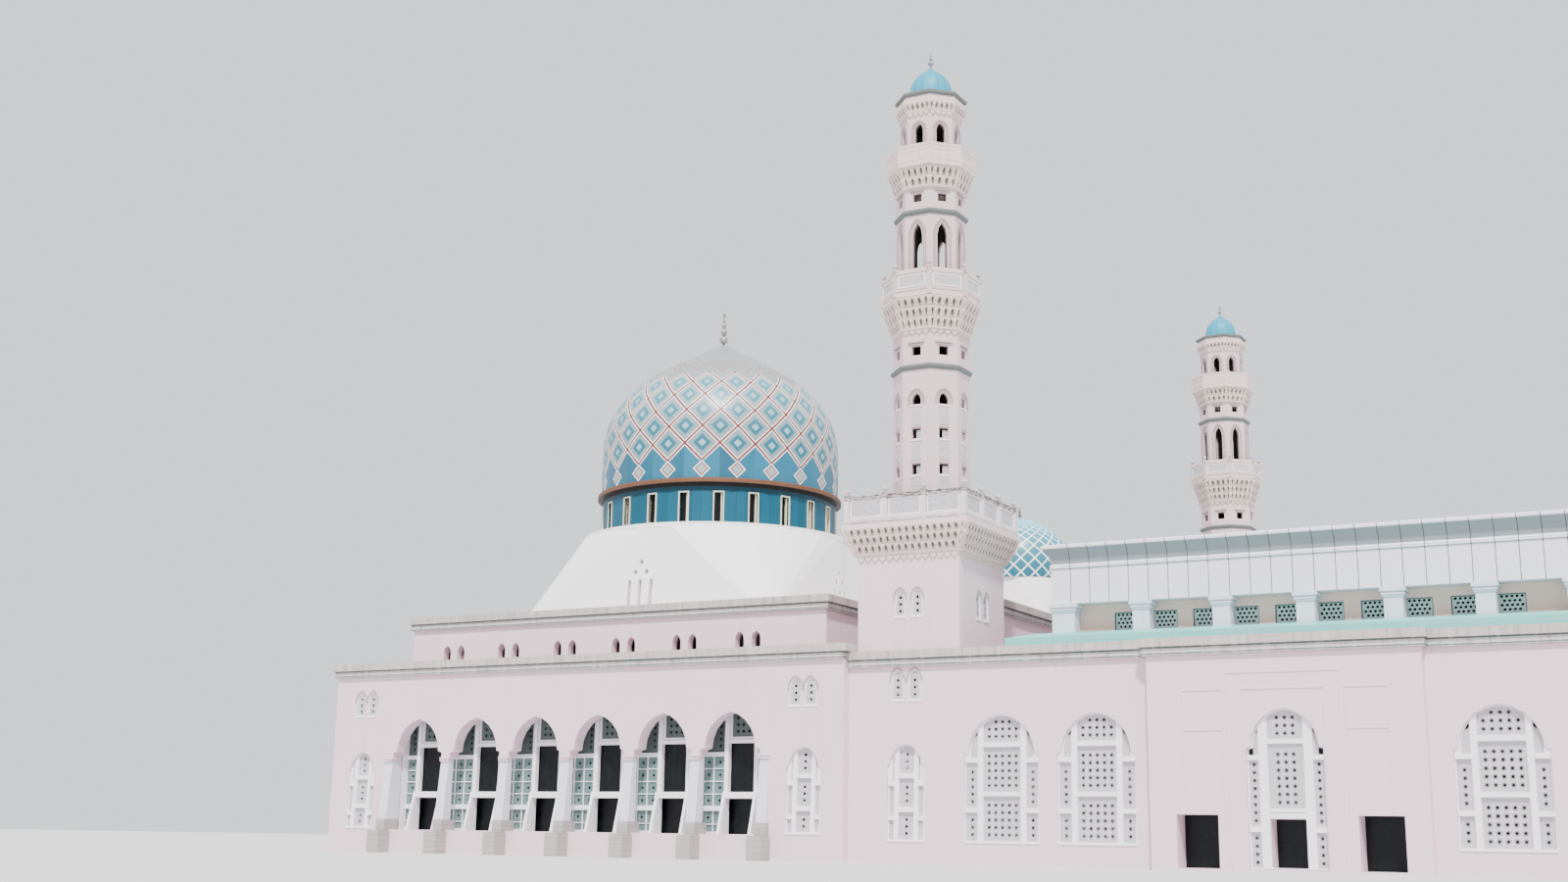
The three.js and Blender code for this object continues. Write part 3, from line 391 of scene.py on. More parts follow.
def lattice(polygon, y, depth, centre, pitch, hole=0.175):
    """A pierced screen cut to a convex outline. Its UV map counts the pitch for the painted net."""
    side = pitch / math.sqrt(2)
    reach = max(math.hypot(x - centre[0], z - centre[1]) for x, z in polygon)
    count = 2 * math.ceil(reach / side) + 1
    bpy.ops.object.select_all(action="DESELECT")
    bpy.ops.mesh.primitive_grid_add(x_subdivisions=count, y_subdivisions=count, size=count * side,
        location=(centre[0], y, centre[1]), rotation=(math.pi / 2, 0, 0))
    obj = bpy.context.object
    bpy.ops.object.transform_apply(location=True, rotation=True, scale=True)
    while obj.data.uv_layers:
        obj.data.uv_layers.remove(obj.data.uv_layers[0])
    edit(obj, "FACE")
    bpy.ops.transform.rotate(value=math.pi / 4, orient_axis="Y",
        center_override=(centre[0], y, centre[1]))
    middle = Vector((sum(p[0] for p in polygon), 0, sum(p[1] for p in polygon))) / len(polygon)
    for (x0, z0), (x1, z1) in zip(polygon, polygon[1:] + polygon[:1]):
        normal = Vector((z1 - z0, 0, x0 - x1))
        if normal.dot(middle - Vector((x0, 0, z0))) > 0:
            normal.negate()
        bpy.ops.mesh.select_all(action="SELECT")
        bpy.ops.mesh.bisect(plane_co=(x0, y, z0), plane_no=normal, clear_outer=True)
    whole = side * side * 0.98
    step = pitch / 2
    pierce(obj, lambda f: len(f.verts) == 4 and f.calc_area() > whole
        and round((f.calc_center_median().x - centre[0]) / step) % 2 == 0, (side - hole) / 2,
        hole * CORNER_CUT)
    thicken(obj, (0, depth, 0))
    layer = obj.data.uv_layers.new(name="net")
    for loop in obj.data.loops:
        point = obj.data.vertices[loop.vertex_index].co
        layer.data[loop.index].uv = (100 + (point.x - centre[0]) / pitch,
            100 + (point.z - centre[1]) / pitch)
    return obj


def dotted_sheet(x0, x1, z0, z1, y, depth, pitch, rows, hole):
    """A sheet with rows of staggered eight-sided holes."""
    rise = (z1 - z0) / rows
    count = math.ceil((x1 - x0) / pitch) + 2
    strips = []
    for i in range(rows):
        centre = (x0 + x1) / 2 + (pitch / 2 if i % 2 else 0)
        bottom = z0 + i * rise
        bpy.ops.object.select_all(action="DESELECT")
        bpy.ops.mesh.primitive_grid_add(x_subdivisions=count, y_subdivisions=1, size=1,
            location=(0, 0, 0), rotation=(math.pi / 2, 0, 0))
        strip = bpy.context.object
        bpy.ops.object.transform_apply(location=True, rotation=True, scale=True)
        strip.data.transform(at(centre, y, bottom + rise / 2)
            @ Matrix.Diagonal((count * pitch, 1, rise, 1)))
        edit(strip, "FACE")
        for x, way in ((x0, -1), (x1, 1)):
            bpy.ops.mesh.select_all(action="SELECT")
            bpy.ops.mesh.bisect(plane_co=(x, y, z0), plane_no=(way, 0, 0), clear_outer=True)
        whole = pitch * rise * 0.97
        pierce(strip, lambda f: f.calc_area() > whole, (rise - hole) / 2, hole * CORNER_CUT)
        strips.append(thicken(strip, (0, depth, 0)))
    return joined(strips)


def moulding(path, section):
    """A closed section swept along a plan path; path(reach) gives the plan's points."""
    loops = [[Vector((x, y, z)) for x, y in path(reach)] for reach, z in section]
    parts = []
    for points in loops:
        parts.append(trace(points, filled=False))
        done()
    obj = joined(parts)
    edit(obj)
    keys = [{tuple(round(c, 3) for c in p) for p in points} for points in loops]
    for here, there in zip(keys, keys[1:] + keys[:1]):
        both = here | there
        pick(obj, "VERT", lambda v: tuple(round(c, 3) for c in v.co) in both)
        bpy.ops.mesh.select_mode(type="EDGE")
        bpy.ops.mesh.bridge_edge_loops()
    return outward(obj)


# ---- materials ----

def add_node(tree, kind, inputs=None, **settings):
    """A shader node with its settings, values and links."""
    node = tree.nodes.new(kind)
    for name, value in settings.items():
        setattr(node, name, value)
    for name, value in (inputs or {}).items():
        socket = node.inputs[name]
        if isinstance(value, bpy.types.NodeSocket):
            tree.links.new(value, socket)
        else:
            socket.default_value = value
    return node


def sums(tree, operation, first, second=0.0, third=0.0, clamp=False):
    """One step of arithmetic on values."""
    return add_node(tree, "ShaderNodeMath", {0: first, 1: second, 2: third}, operation=operation,
        use_clamp=clamp).outputs[0]


def arithmetic(operation):
    """A function that adds one kind of arithmetic node."""
    def step(tree, *values, clamp=False):
        return sums(tree, operation, *values, clamp=clamp)
    return step


plus, minus, times, times_plus = map(arithmetic, ("ADD", "SUBTRACT", "MULTIPLY", "MULTIPLY_ADD"))
max_of, is_over, is_under = map(arithmetic, ("MAXIMUM", "GREATER_THAN", "LESS_THAN"))
absolute, nearest, pingpong, angle_of = map(arithmetic,
    ("ABSOLUTE", "ROUND", "PINGPONG", "ARCTAN2"))


def noise(tree, scale, **inputs):
    """Cloudy values from 0 to 1."""
    return add_node(tree, "ShaderNodeTexNoise", {"Scale": scale, **inputs}).outputs[0]


def ramp(tree, value, low, high, start=0.0, end=1.0):
    """From start to end while a value goes from low to high."""
    return add_node(tree, "ShaderNodeMapRange", {"Value": value, "From Min": low, "From Max": high,
        "To Min": start, "To Max": end}).outputs[0]


def uv_values(tree, name):
    """The values of a piece's own UV map."""
    place = add_node(tree, "ShaderNodeUVMap", uv_map=name).outputs[0]
    return add_node(tree, "ShaderNodeSeparateXYZ", {0: place}).outputs


def weather(tree):
    """The weather group, placed in a material."""
    return add_node(tree, "ShaderNodeGroup", node_tree=bpy.data.node_groups["Weather"])


def mixed(tree, factor, first, second):
    """Two colours blended by a mask."""
    def full(value):
        return value if isinstance(value, bpy.types.NodeSocket) else (*value, 1)
    return add_node(tree, "ShaderNodeMix", {0: factor, 6: full(first), 7: full(second)},
        data_type="RGBA").outputs[2]


def blotchy(tree, name, scale):
    """One of the colours in use, with slow variation."""
    return mixed(tree, noise(tree, scale), paint(name, 0.95), paint(name))


def position(tree):
    """X, Y and Z on the piece, in metres of the full-size drawing."""
    place = add_node(tree, "ShaderNodeTexCoord").outputs["Object"]
    moved = add_node(tree, "ShaderNodeMapping",
        {"Vector": place, "Location": (MIDDLE_X, MIDDLE_Y, GROUND), "Scale": (1 / SCALE,) * 3})
    return add_node(tree, "ShaderNodeSeparateXYZ", {0: moved.outputs[0]}).outputs


def between(tree, value, low, high, soft=0.02):
    """1 where a value lies between two limits."""
    return times(tree, ramp(tree, value, low - soft, low + soft),
        ramp(tree, value, high - soft, high + soft, 1.0, 0.0))


def lines(tree, value, pitch, width, offset=0.0):
    """1 on thin lines that repeat along a value."""
    shifted = plus(tree, value, -offset)
    turn = pingpong(tree, shifted, pitch / 2)
    return is_under(tree, turn, width / 2)


def new_group(name, inputs, outputs):
    """A shader node group with named sockets."""
    tree = bpy.data.node_groups.new(name, "ShaderNodeTree")
    for label, kind, value in inputs:
        socket = tree.interface.new_socket(name=label, in_out="INPUT", socket_type=kind)
        socket.default_value = value
    for label, kind in outputs:
        tree.interface.new_socket(name=label, in_out="OUTPUT", socket_type=kind)
    return tree, tree.nodes.new("NodeGroupInput").outputs, tree.nodes.new("NodeGroupOutput").inputs


def weather_group():
    """Rain streaks, blotches and the grain of a brushed surface, from the place on the building."""
    tree, given, wanted = new_group("Weather",
        [("Streaks", "NodeSocketFloat", 0.5), ("Grain size", "NodeSocketFloat", 60.0)],
        [("Tone", "NodeSocketFloat"), ("Dirt", "NodeSocketFloat"), ("Height", "NodeSocketFloat")])
    place = add_node(tree, "ShaderNodeTexCoord").outputs["Object"]
    stretched = add_node(tree, "ShaderNodeMapping",
        {"Vector": place, "Scale": (1.0, 1.0, 0.06)}).outputs[0]
    streak = noise(tree, 26.0, Vector=stretched, Detail=5.0, Roughness=0.65)
    patch = noise(tree, 2.2, Vector=place, Detail=3.0)
    sharp = ramp(tree, streak, 0.5, 0.78)
    where = ramp(tree, patch, 0.38, 0.65)
    dirt = times(tree, times(tree, sharp, where), given["Streaks"], clamp=True)
    grain = noise(tree, given["Grain size"], Vector=place, Detail=4.0)
    tree.links.new(patch, wanted["Tone"])
    tree.links.new(dirt, wanted["Dirt"])
    tree.links.new(grain, wanted["Height"])
    return tree


def material_base(name, roughness=0.8, metallic=0.0):
    """An empty procedural material and its shader."""
    material = bpy.data.materials.new(name)
    material.use_nodes = True
    shader = material.node_tree.nodes["Principled BSDF"]
    shader.inputs["Roughness"].default_value = roughness
    shader.inputs["Metallic"].default_value = metallic
    return material, material.node_tree, shader


def weathered(name, colour, dirt_colour="8E8784", streaks=0.5, roughness=0.85, grain=60.0,
        bump=0.25, metallic=0.0, spread=0.06, sheen=0.25):
    """A surface with slow colour variation, rain streaks and grain; colour may be a function."""
    material, tree, shader = material_base(name, roughness, metallic)
    shader.inputs["Specular IOR Level"].default_value = sheen
    worn = weather(tree)
    worn.inputs["Streaks"].default_value = streaks
    worn.inputs["Grain size"].default_value = grain
    base = colour(tree) if callable(colour) else tuple(colour)
    if isinstance(base, tuple):
        darker = tuple(c * (1 - spread) for c in base)
        lighter = tuple(min(1.0, c * (1 + spread)) for c in base)
        base = mixed(tree, worn.outputs["Tone"], darker, lighter)
    final = mixed(tree, worn.outputs["Dirt"], base, tint(dirt_colour))
    tree.links.new(final, shader.inputs["Base Color"])
    rough = times_plus(tree, worn.outputs["Height"], 0.2, roughness - 0.1, clamp=True)
    tree.links.new(rough, shader.inputs["Roughness"])
    bumped = add_node(tree, "ShaderNodeBump", {"Height": worn.outputs["Height"], "Strength": bump,
        "Distance": 0.002})
    tree.links.new(bumped.outputs[0], shader.inputs["Normal"])
    return material


def outside_rectangle(tree, x, y, x0, x1, y0, y1):
    """1 outside a plan rectangle."""
    inside = times(tree, between(tree, x, x0, x1, 0.004), between(tree, y, y0, y1, 0.004))
    return minus(tree, 1.0, inside)


def hall_wall_colour(tree):
    """Wall paint, with cooler piers that stand on stone blocks."""
    x, y, z = position(tree)
    proud = outside_rectangle(tree, x, y, -0.01, HALL_WIDTH + 0.01, -0.01, HALL_DEPTH + 0.01)
    arcade = max_of(tree, between(tree, x, 5.5, 35.3), between(tree, y, 6.0, 30.7))
    wall = blotchy(tree, "wall", 2.2)
    pier = max_of(tree, proud, times(tree, arcade, between(tree, z, 0.7, 4.62, 0.004)))
    walls = mixed(tree, pier, wall, paint("pier"))
    block = max_of(tree, proud, times(tree, arcade, is_over(tree, z, 0.003)))
    low = times(tree, block, is_under(tree, z, 0.705))
    stone = mixed(tree, lines(tree, z, 0.36, 0.02, 0.35), paint("stone"), tint("77736F"))
    return mixed(tree, low, walls, stone)


def upper_wall_colour(tree):
    """Warm recessed wall between cool piers."""
    x, y, _ = position(tree)
    proud = outside_rectangle(tree, x, y, UPPER["left"] + UPPER_RECESS,
        UPPER["right"] - UPPER_RECESS, UPPER["front"] + UPPER_RECESS, UPPER["back"] - UPPER_RECESS)
    return mixed(tree, proud, paint("recess"), paint("pier"))


def banded(lowest, bands):
    """A colour function with bands by height, each (foot, colour), streaks and upright joints."""
    def make(tree):
        x, y, z = position(tree)
        colour = lowest
        for foot, band in bands:
            colour = mixed(tree, is_over(tree, z, foot), colour, band)
        place = add_node(tree, "ShaderNodeTexCoord").outputs["Object"]
        drawn_out = add_node(tree, "ShaderNodeMapping",
            {"Vector": place, "Scale": (1.0, 1.0, 0.04)}).outputs[0]
        run = noise(tree, 34.0, Vector=drawn_out, Detail=4.0)
        pale = ramp(tree, run, 0.52, 0.7)
        dark = ramp(tree, run, 0.46, 0.3)
        colour = mixed(tree, times(tree, pale, 0.35), colour, tint("D5CCC9"))
        colour = mixed(tree, times(tree, dark, 0.45), colour, tint("85787A"))
        joint = max_of(tree, lines(tree, x, 2.44, 0.04), lines(tree, y, 2.44, 0.04))
        return mixed(tree, times(tree, joint, 0.6), colour, tint("776B6B"))
    return make


def facet_shade(tree, value):
    """A random painted shade for each whole step of a value, as flat panels catch the light
    differently.
    """
    return add_node(tree, "ShaderNodeTexWhiteNoise", {"W": sums(tree, "FLOOR", value)},
        noise_dimensions="1D").outputs[0]


def glaze(tree, shader, worn, colour, dirt, height, bump):
    """Ends a glazed material: dirt is (share, colour), bump is (strength, distance)."""
    share, dirt_colour = dirt
    final = mixed(tree, times(tree, worn.outputs["Dirt"], share), colour, dirt_colour)
    tree.links.new(final, shader.inputs["Base Color"])
    rough = times_plus(tree, worn.outputs["Height"], 0.25, 0.25)
    tree.links.new(rough, shader.inputs["Roughness"])
    bumped = add_node(tree, "ShaderNodeBump",
        {"Height": height, "Strength": bump[0], "Distance": bump[1]})
    tree.links.new(bumped.outputs[0], shader.inputs["Normal"])


def dome_tile_material():
    """Tiles: teal foot, silver diamonds with white and red-brown lines, grey cap; painted sheen and
    facet shade.
    """
    material, tree, shader = material_base("dome_tiles", 0.32)
    across, up, _ = uv_values(tree, "tile_columns")
    first = plus(tree, across, up)
    second = minus(tree, across, up)
    whole_first, whole_second = nearest(tree, first), nearest(tree, second)
    reach = max_of(tree, absolute(tree, minus(tree, first, whole_first)),
        absolute(tree, minus(tree, second, whole_second)))
    level = minus(tree, whole_first, whole_second)
    white, rust = tint("FAEEEE"), tint("6E1E12")
    white_edge, rust_edge, square_edge, dot_edge = 0.42, 0.463, 0.255, 0.115
    first_row, last_row, tile_pitch = 0.5, 5.5, 0.0833
    # Painted sheen: the silver and the teal squares turn paler towards the top.
    pale = ramp(tree, up, 0.8, 2.9)
    silver = mixed(tree, pale, paint("silver"), tint("9CA9AD"))
    square = mixed(tree, pale, tint("0E6A80"), tint("4797A8"))
    cell = mixed(tree, is_under(tree, reach, square_edge), silver, square)
    cell = mixed(tree, is_under(tree, reach, dot_edge), cell, tint("93B3B6"))
    # Painted shade: each flat of the teal foot a little lighter or darker.
    teal = mixed(tree, facet_shade(tree, times(tree, across, 2.0)), tint("085A74"), tint("177391"))
    cap = mixed(tree, noise(tree, 5.0), tint("858D90"), tint("999FA2"))
    zigzag = minus(tree, up, pingpong(tree, across, 0.5))
    faint = times(tree, lines(tree, zigzag, 0.3, 0.05, 3.1), 0.9)
    cap = mixed(tree, times(tree, faint, between(tree, zigzag, 3.0, 3.75)), cap, tint("A0524A"))
    is_cell = times(tree, is_over(tree, level, first_row), is_under(tree, level, last_row))
    colour = mixed(tree, is_over(tree, level, last_row), teal, cap)
    colour = mixed(tree, is_cell, colour, cell)
    shown = times(tree, is_over(tree, up, 0.0), is_under(tree, zigzag, 2.58))
    colour = mixed(tree, times(tree, shown, is_over(tree, reach, white_edge)), colour, white)
    colour = mixed(tree, times(tree, shown, is_over(tree, reach, rust_edge)), colour, rust)
    side = minus(tree, 0.5, pingpong(tree, across, 0.5))
    small = plus(tree, side, absolute(tree, plus(tree, up, 0.245)))
    for limit, line in ((0.25, white), (0.2, rust), (0.16, tint("9DA9AA"))):
        colour = mixed(tree, is_under(tree, small, limit), colour, line)
    tile = max_of(tree, lines(tree, first, tile_pitch, 0.006),
        lines(tree, second, tile_pitch, 0.006))
    fold = lines(tree, across, 0.5, 0.012)
    joint = max_of(tree, tile, fold)
    colour = mixed(tree, times(tree, joint, 0.12), colour, tint("6F7F84"))
    worn = weather(tree)
    raised = minus(tree, times(tree, worn.outputs["Height"], 0.15), joint)
    glaze(tree, shader, worn, colour, (0.35, tint("A09C98")), raised, (0.25, 0.001))
    return material


def small_dome_material():
    """White diamond lattice on teal, with a plain aqua top and a white foot."""
    material, tree, shader = material_base("small_dome_tiles", 0.35)
    across, up, _ = uv_values(tree, "tile_columns")
    first = plus(tree, across, up)
    second = minus(tree, across, up)
    reach = max_of(tree, *[absolute(tree, minus(tree, v, nearest(tree, v)))
        for v in (first, second)])
    shade = ramp(tree, up, 0.0, 4.6)
    teal = mixed(tree, shade, tint("14687E"), tint("4BA4BA"))
    lattice_lines = is_over(tree, reach, 0.425)
    colour = mixed(tree, lattice_lines, teal, tint("F3F5F6"))
    rings = times(tree, lines(tree, up, 0.35, 0.05), 0.35)
    top = mixed(tree, rings, tint("74C4D6"), tint("D9ECEF"))
    colour = mixed(tree, is_over(tree, up, 4.9), colour, top)
    colour = mixed(tree, is_over(tree, position(tree)[2], 23.18), colour, tint("6F6E6C"))
    glaze(tree, shader, weather(tree), colour, (0.3, tint("9AA3A4")), lattice_lines, (0.3, 0.002))
    return material


def drum_colour(tree):
    """Teal tiles with a joint at every fold, and a wavy shade under the band."""
    x, y, z = position(tree)
    angle = angle_of(tree, minus(tree, y, DOME_Y), minus(tree, x, DOME_X))
    column = times_plus(tree, angle, DRUM_SIDES / math.tau,
        DRUM_SIDES / 4 - DOME_TURN * DRUM_SIDES / math.tau)
    fold = max_of(tree, lines(tree, column, 1.0, 0.02, 0.5), lines(tree, column, 0.25, 0.007))
    row_joint = lines(tree, z, 0.6, 0.02)
    # Painted shade: each quarter of a flat a little lighter or darker, as the flats catch the
    # light.
    tone = facet_shade(tree, times(tree, column, 4.0))
    teal = mixed(tree, tone, paint("teal", 0.78), paint("teal"))
    joints = max_of(tree, fold, times(tree, row_joint, 0.3))
    teal = mixed(tree, times(tree, joints, 0.5), teal, tint("063A4A"))
    wave = pingpong(tree, times(tree, column, 1.7), 0.5)
    edge = times_plus(tree, wave, 0.3, 24.12)
    under = ramp(tree, minus(tree, z, edge), -0.04, 0.06)
    return mixed(tree, times(tree, under, 0.75), teal, tint("0A2F3C"))


def band_colour(tree):
    """Copper, with painted shade on the underside."""
    z = position(tree)[2]
    return mixed(tree, is_under(tree, z, 24.8), paint("copper"), tint("262424"))


def tower_colour(tree):
    """Wall paint; painted shade inside the shafts and in the depth of their openings."""
    x, y, z = position(tree)
    wall = blotchy(tree, "wall", 2.2)
    reach = 100.0
    for tower_x, tower_y in TOWERS.values():
        across, along = minus(tree, x, tower_x), minus(tree, y, tower_y)
        square = plus(tree, times(tree, across, across), times(tree, along, along))
        reach = sums(tree, "MINIMUM", sums(tree, "SQRT", square), reach)
    # How far the shaft's faces stand from its axis, and where and by how much it narrows.
    face = 2.263
    for height, narrower in ((33.9, 0.166), (42.7, 0.231)):
        face = times_plus(tree, is_over(tree, z, height), -narrower, face)
    # Painted shade: dark towards the back of the openings, inside the shafts.
    depth = ramp(tree, minus(tree, face, reach), 0.04, 0.3)
    inside = times(tree, depth, between(tree, z, 19.2, 47.0))
    # The wall paint is mixed a little darker above the terrace.
    darker_above_terrace = times(tree, is_over(tree, z, 20.9), 0.3)
    return mixed(tree, inside, mixed(tree, darker_above_terrace, wall, tint("BCA19C")), tint("2E2B2D"))


def corbel_colour(tree):
    """Beige render, with painted shade in the cups between the brackets."""
    cup = uv_values(tree, "cup")[0]
    patch = noise(tree, 6.0)
    base = mixed(tree, patch, tint("D6C4BD"), tint("E2D2CB"))
    return mixed(tree, is_over(tree, cup, 0.5), base, tint("6E615C"))


def rail_colour(tree):
    """Pale render, mottled dark on the top rails."""
    z = position(tree)[2]
    blots = noise(tree, 26.0, Detail=6.0, Roughness=0.7)
    stain = ramp(tree, blots, 0.38, 0.56)
    low = times(tree, between(tree, z, 18.9, 19.1), 0.5)
    where = max_of(tree, max_of(tree, between(tree, z, 20.4, 20.8), between(tree, z, 35.1, 35.4)),
        low)
    base = mixed(tree, is_over(tree, z, 20.8), tint("DDD2D5"), tint("CABEBF"))
    return mixed(tree, times(tree, stain, where), base, tint("6A605E"))


def net_holes(tree):
    """1 on the fine holes of a screen, painted dark as the shade seen through them; 0 without the
    net's UV map.
    """
    u, v, _ = uv_values(tree, "net")
    pitch, radius = 1 / 6, 0.115
    dots = []
    for shift in (0.0, pitch):
        across, up = (pingpong(tree, plus(tree, value, shift), pitch) for value in (u, v))
        dots.append(is_under(tree, plus(tree, across, up), radius))
    return times(tree, is_over(tree, u, 0.5), max_of(tree, *dots))


def screen_colour(tree):
    """White screens with a fine net of holes painted dark grey, as painted shade seen through them.
    """
    return mixed(tree, net_holes(tree), blotchy(tree, "screen", 3.0), tint("3E3D48"))


def arcade_lattice_colour(tree):
    """White screens painted grey-green as painted shade, darker above the lower rail, with a fine
    net.
    """
    z = position(tree)[2]
    tone = noise(tree, 3.0)
    # Painted shade: grey-green for white screens in the arcade's shade, darker above the lower
    # rail.
    low = mixed(tree, tone, tint("7D9A99"), tint("94B0AE"))
    base = mixed(tree, is_over(tree, z, 5.0), low, tint("6F7A79"))
    return mixed(tree, net_holes(tree), base, tint("22302F"))


def cap_colour(tree):
    """Light blue tiles with upright seams, and a grey finial."""
    x, y, z = position(tree)
    seam = 0.0
    for tower_x, tower_y in TOWERS.values():
        across, along = minus(tree, x, tower_x), minus(tree, y, tower_y)
        near = is_under(tree, absolute(tree, along), 4.0)
        angle = times(tree, angle_of(tree, along, across), 16 / math.tau)
        seam = max_of(tree, seam, times(tree, near, lines(tree, angle, 1.0, 0.09)))
    colour = mixed(tree, times(tree, seam, 0.75), paint("sky"), tint("1F6A7E"))
    return mixed(tree, is_over(tree, z, 50.33), colour, tint("8D9A9C"))


def eaves_colour(tree):
    """Pale fascia panels, a blue-grey cove above them and a white flashing, with painted shadow
    lines under the gutter and the ledge.
    """
    _, _, z = position(tree)
    cove = between(tree, z, 16.5, 17.37, 0.005)
    panels = mixed(tree, cove, paint("fascia"), paint("cove"))
    # Painted shadow: thin dark lines under the gutter and under the ledge.
    edges = max_of(tree, between(tree, z, 17.37, 17.42, 0.005),
        between(tree, z, 16.19, 16.22, 0.005))
    return mixed(tree, times(tree, edges, 0.75), panels, tint("5E6166"))


def recipe(*values, **named):
    """The settings of one finish."""
    return values, named


def make_materials():
    """All paints and finishes, by name."""
    weather_group()
    p = paints()
    grey, groove_shade = paint("parapet"), paint("groove_shade")

    # A parapet's bands by height; the two dark ones are painted shade in its grooves.
    def parapet(foot, middle):
        return banded(tint("A9A3A3"), [(foot, groove_shade), (foot + 0.07, tint("C6C2C3")),
            (middle - 0.1, groove_shade), (middle, grey)])
    table = {
        "hall_wall": recipe(hall_wall_colour, "A79C9C", 0.25, 0.85),
        "wall": recipe(p.wall, "A79C9C", 0.22, 0.85),
        "tower": recipe(tower_colour, "B3A59F", 0.4, 0.85),
        "corbel": recipe(corbel_colour, "9C8C84", 0.5, 0.85),
        "upper_wall": recipe(upper_wall_colour, "A79C9C", 0.3, 0.8),
        "roof": recipe(p.roof, "BDB8B6", 0.12, 0.7, bump=0.12, spread=0.015),
        "hall_parapet": recipe(parapet(10.62, 11.02), "9C8D89", 0.9),
        "clerestory_parapet": recipe(parapet(14.3, 14.72), "9C8D89", 0.9),
        "wing_parapet": recipe(parapet(10.07, 10.49), "9C8D89", 0.9),
        "slab": recipe(grey, "8D8583", 0.5),
        "screen": recipe(screen_colour, "B7AFAF", 0.2, 0.7, bump=0.1),
        "arcade_lattice": recipe(arcade_lattice_colour, "4A5352", 0.3, 0.6),
        "stone": recipe(p.stone, "7C7672", 0.5, 0.8, 30.0),
        "drum": recipe(drum_colour, "143F4E", 0.5, 0.5, 40.0, 0.15, sheen=0.3),
        "copper": recipe(band_colour, "4A3226", 0.6, 0.55, 40.0, 0.15, metallic=0.1),
        "slot_frame": recipe(tint("D8D2B8"), "8B8670", 0.3, 0.6),
        "sky": recipe(p.sky, "5F8F9E", 0.3, 0.35, 40.0, 0.1),
        "eaves": recipe(eaves_colour, "A6A8AB", 0.25, 0.45, 50.0, 0.05, metallic=0.1),
        "fascia": recipe(p.pier, "A6A8AB", 0.25, 0.7),
        "eaves_joint": recipe(tint("575352"), "3E3A39", 0.3, 0.7),
        "mint": recipe(p.mint, "7FB5AA", 0.35, 0.45, 50.0, 0.08, metallic=0.1),
        "upper_screen": recipe(tint("B4CCC9"), "6E8482", 0.3, 0.6),
        "upper_frame": recipe(tint("5D7476"), "3E4E50", 0.3, 0.6),
        "metal": recipe(tint("A7A29A"), "6A6560", 0.4, 0.35, 80.0, 0.1, metallic=0.8),
        # Hood: wall paint darkened as painted shade, for the recess round arched heads and the
        # shafts' moulding edges.
        "hood": recipe(tint("A79C9E"), "857A79", 0.3, 0.85),
        "rail": recipe(rail_colour, "8A7F7C", 0.7, 0.85),
        "cap": recipe(cap_colour, "4C8492", 0.3, 0.45, 40.0, 0.1),
        "ring_band": recipe(tint("6A706F"), "565D5B", 0.4, 0.7),
        "glass": recipe(tint("0C1114"), "1C2326", 0.2, 0.3, 20.0, 0.03, sheen=0.2),
    }
    made = {name: weathered(name, *values, **named) for name, (values, named) in table.items()}
    made.update({"dome_tile": dome_tile_material(), "small_dome": small_dome_material()})
    return made


# The finishes by name, filled at the first use.
MATERIALS = {}


def finish(name):
    """A finish by name; they are all made at its first use."""
    if not MATERIALS:
        MATERIALS.update(make_materials())
    return MATERIALS[name]


# The finish of each carried-over node, the minarets' apart.
CAD_FINISHES = {
    "hall_wall": "hall_front_wall hall_left_wall hall_back_wall",
    "wall": "clerestory_front_wall clerestory_side_walls wing_front_wall_left "
            "wing_front_wall_right entrance_bay wing_back_wall wing_right_wall wing_left_wall",
    "upper_wall": "upper_front_wall upper_back_wall upper_left_wall upper_right_wall",
    "roof": "clerestory_roof dome_base small_dome_base upper_roof",
    "slab": "hall_roof wing_roof",
    "stone": "hall_plinth wing_floor",
    "glass": "wing_glass wing_left_glass upper_glass",
    "drum": "dome_drum",
    "mint": "front_lean_to_roof back_lean_to_roof",
    "screen": "entrance_screen hall_front_screen hall_left_screen hall_back_screen",
    "eaves": "upper_eaves",
    "hall_parapet": "hall_parapet",
    "clerestory_parapet": "clerestory_parapet",
    "wing_parapet": "wing_parapet",
    "copper": "dome_ring",
    "metal": "dome_finial",
    "small_dome": "small_dome",
    "dome_tile": "dome_shell",
}


def dress_carried_nodes():
    """Gives every carried-over node its finish."""
    for name, nodes in CAD_FINISHES.items():
        for node in nodes.split():
            frame["nodes"][node].material_slots[0].material = finish(name)
    for side in TOWERS:
        for part in ("base", "terrace_balustrade", "lower_shaft", "lower_balcony", "middle_shaft",
                "upper_balcony", "lantern"):
            frame["nodes"][f"{side}_minaret_{part}"].material_slots[0].material = finish("tower")
        frame["nodes"][f"{side}_minaret_cap"].material_slots[0].material = finish("sky")


# ---- domes ----

# Outlines of the domes as (radius, height), and the tile rows of the main dome as (height, row).
DOME_LINE = [(9.06, 24.95), (9.1, 27.0), (9.08, 28.7), (8.9, 30.2), (8.42, 31.42), (7.82, 32.42),
    (6.62, 33.74), (5.28, 34.68), (3.84, 35.54), (2.17, 36.46), (0.65, 37.3)]
DOME_ROWS = [(24.95, -0.58), (26.45, 0.0), (27.75, 0.5), (29.04, 1.0), (30.31, 1.5), (31.6, 2.0),
    (32.75, 2.5), (33.71, 3.0), (34.45, 3.5), (35.05, 4.0), (35.6, 4.5), (37.66, 7.0)]
SMALL_LINE = [(3.9, 18.3), (3.9, 19.0), (3.86, 19.7), (3.68, 20.5), (3.27, 21.25), (2.54, 22.0),
    (1.44, 22.75), (0.4, 23.12)]


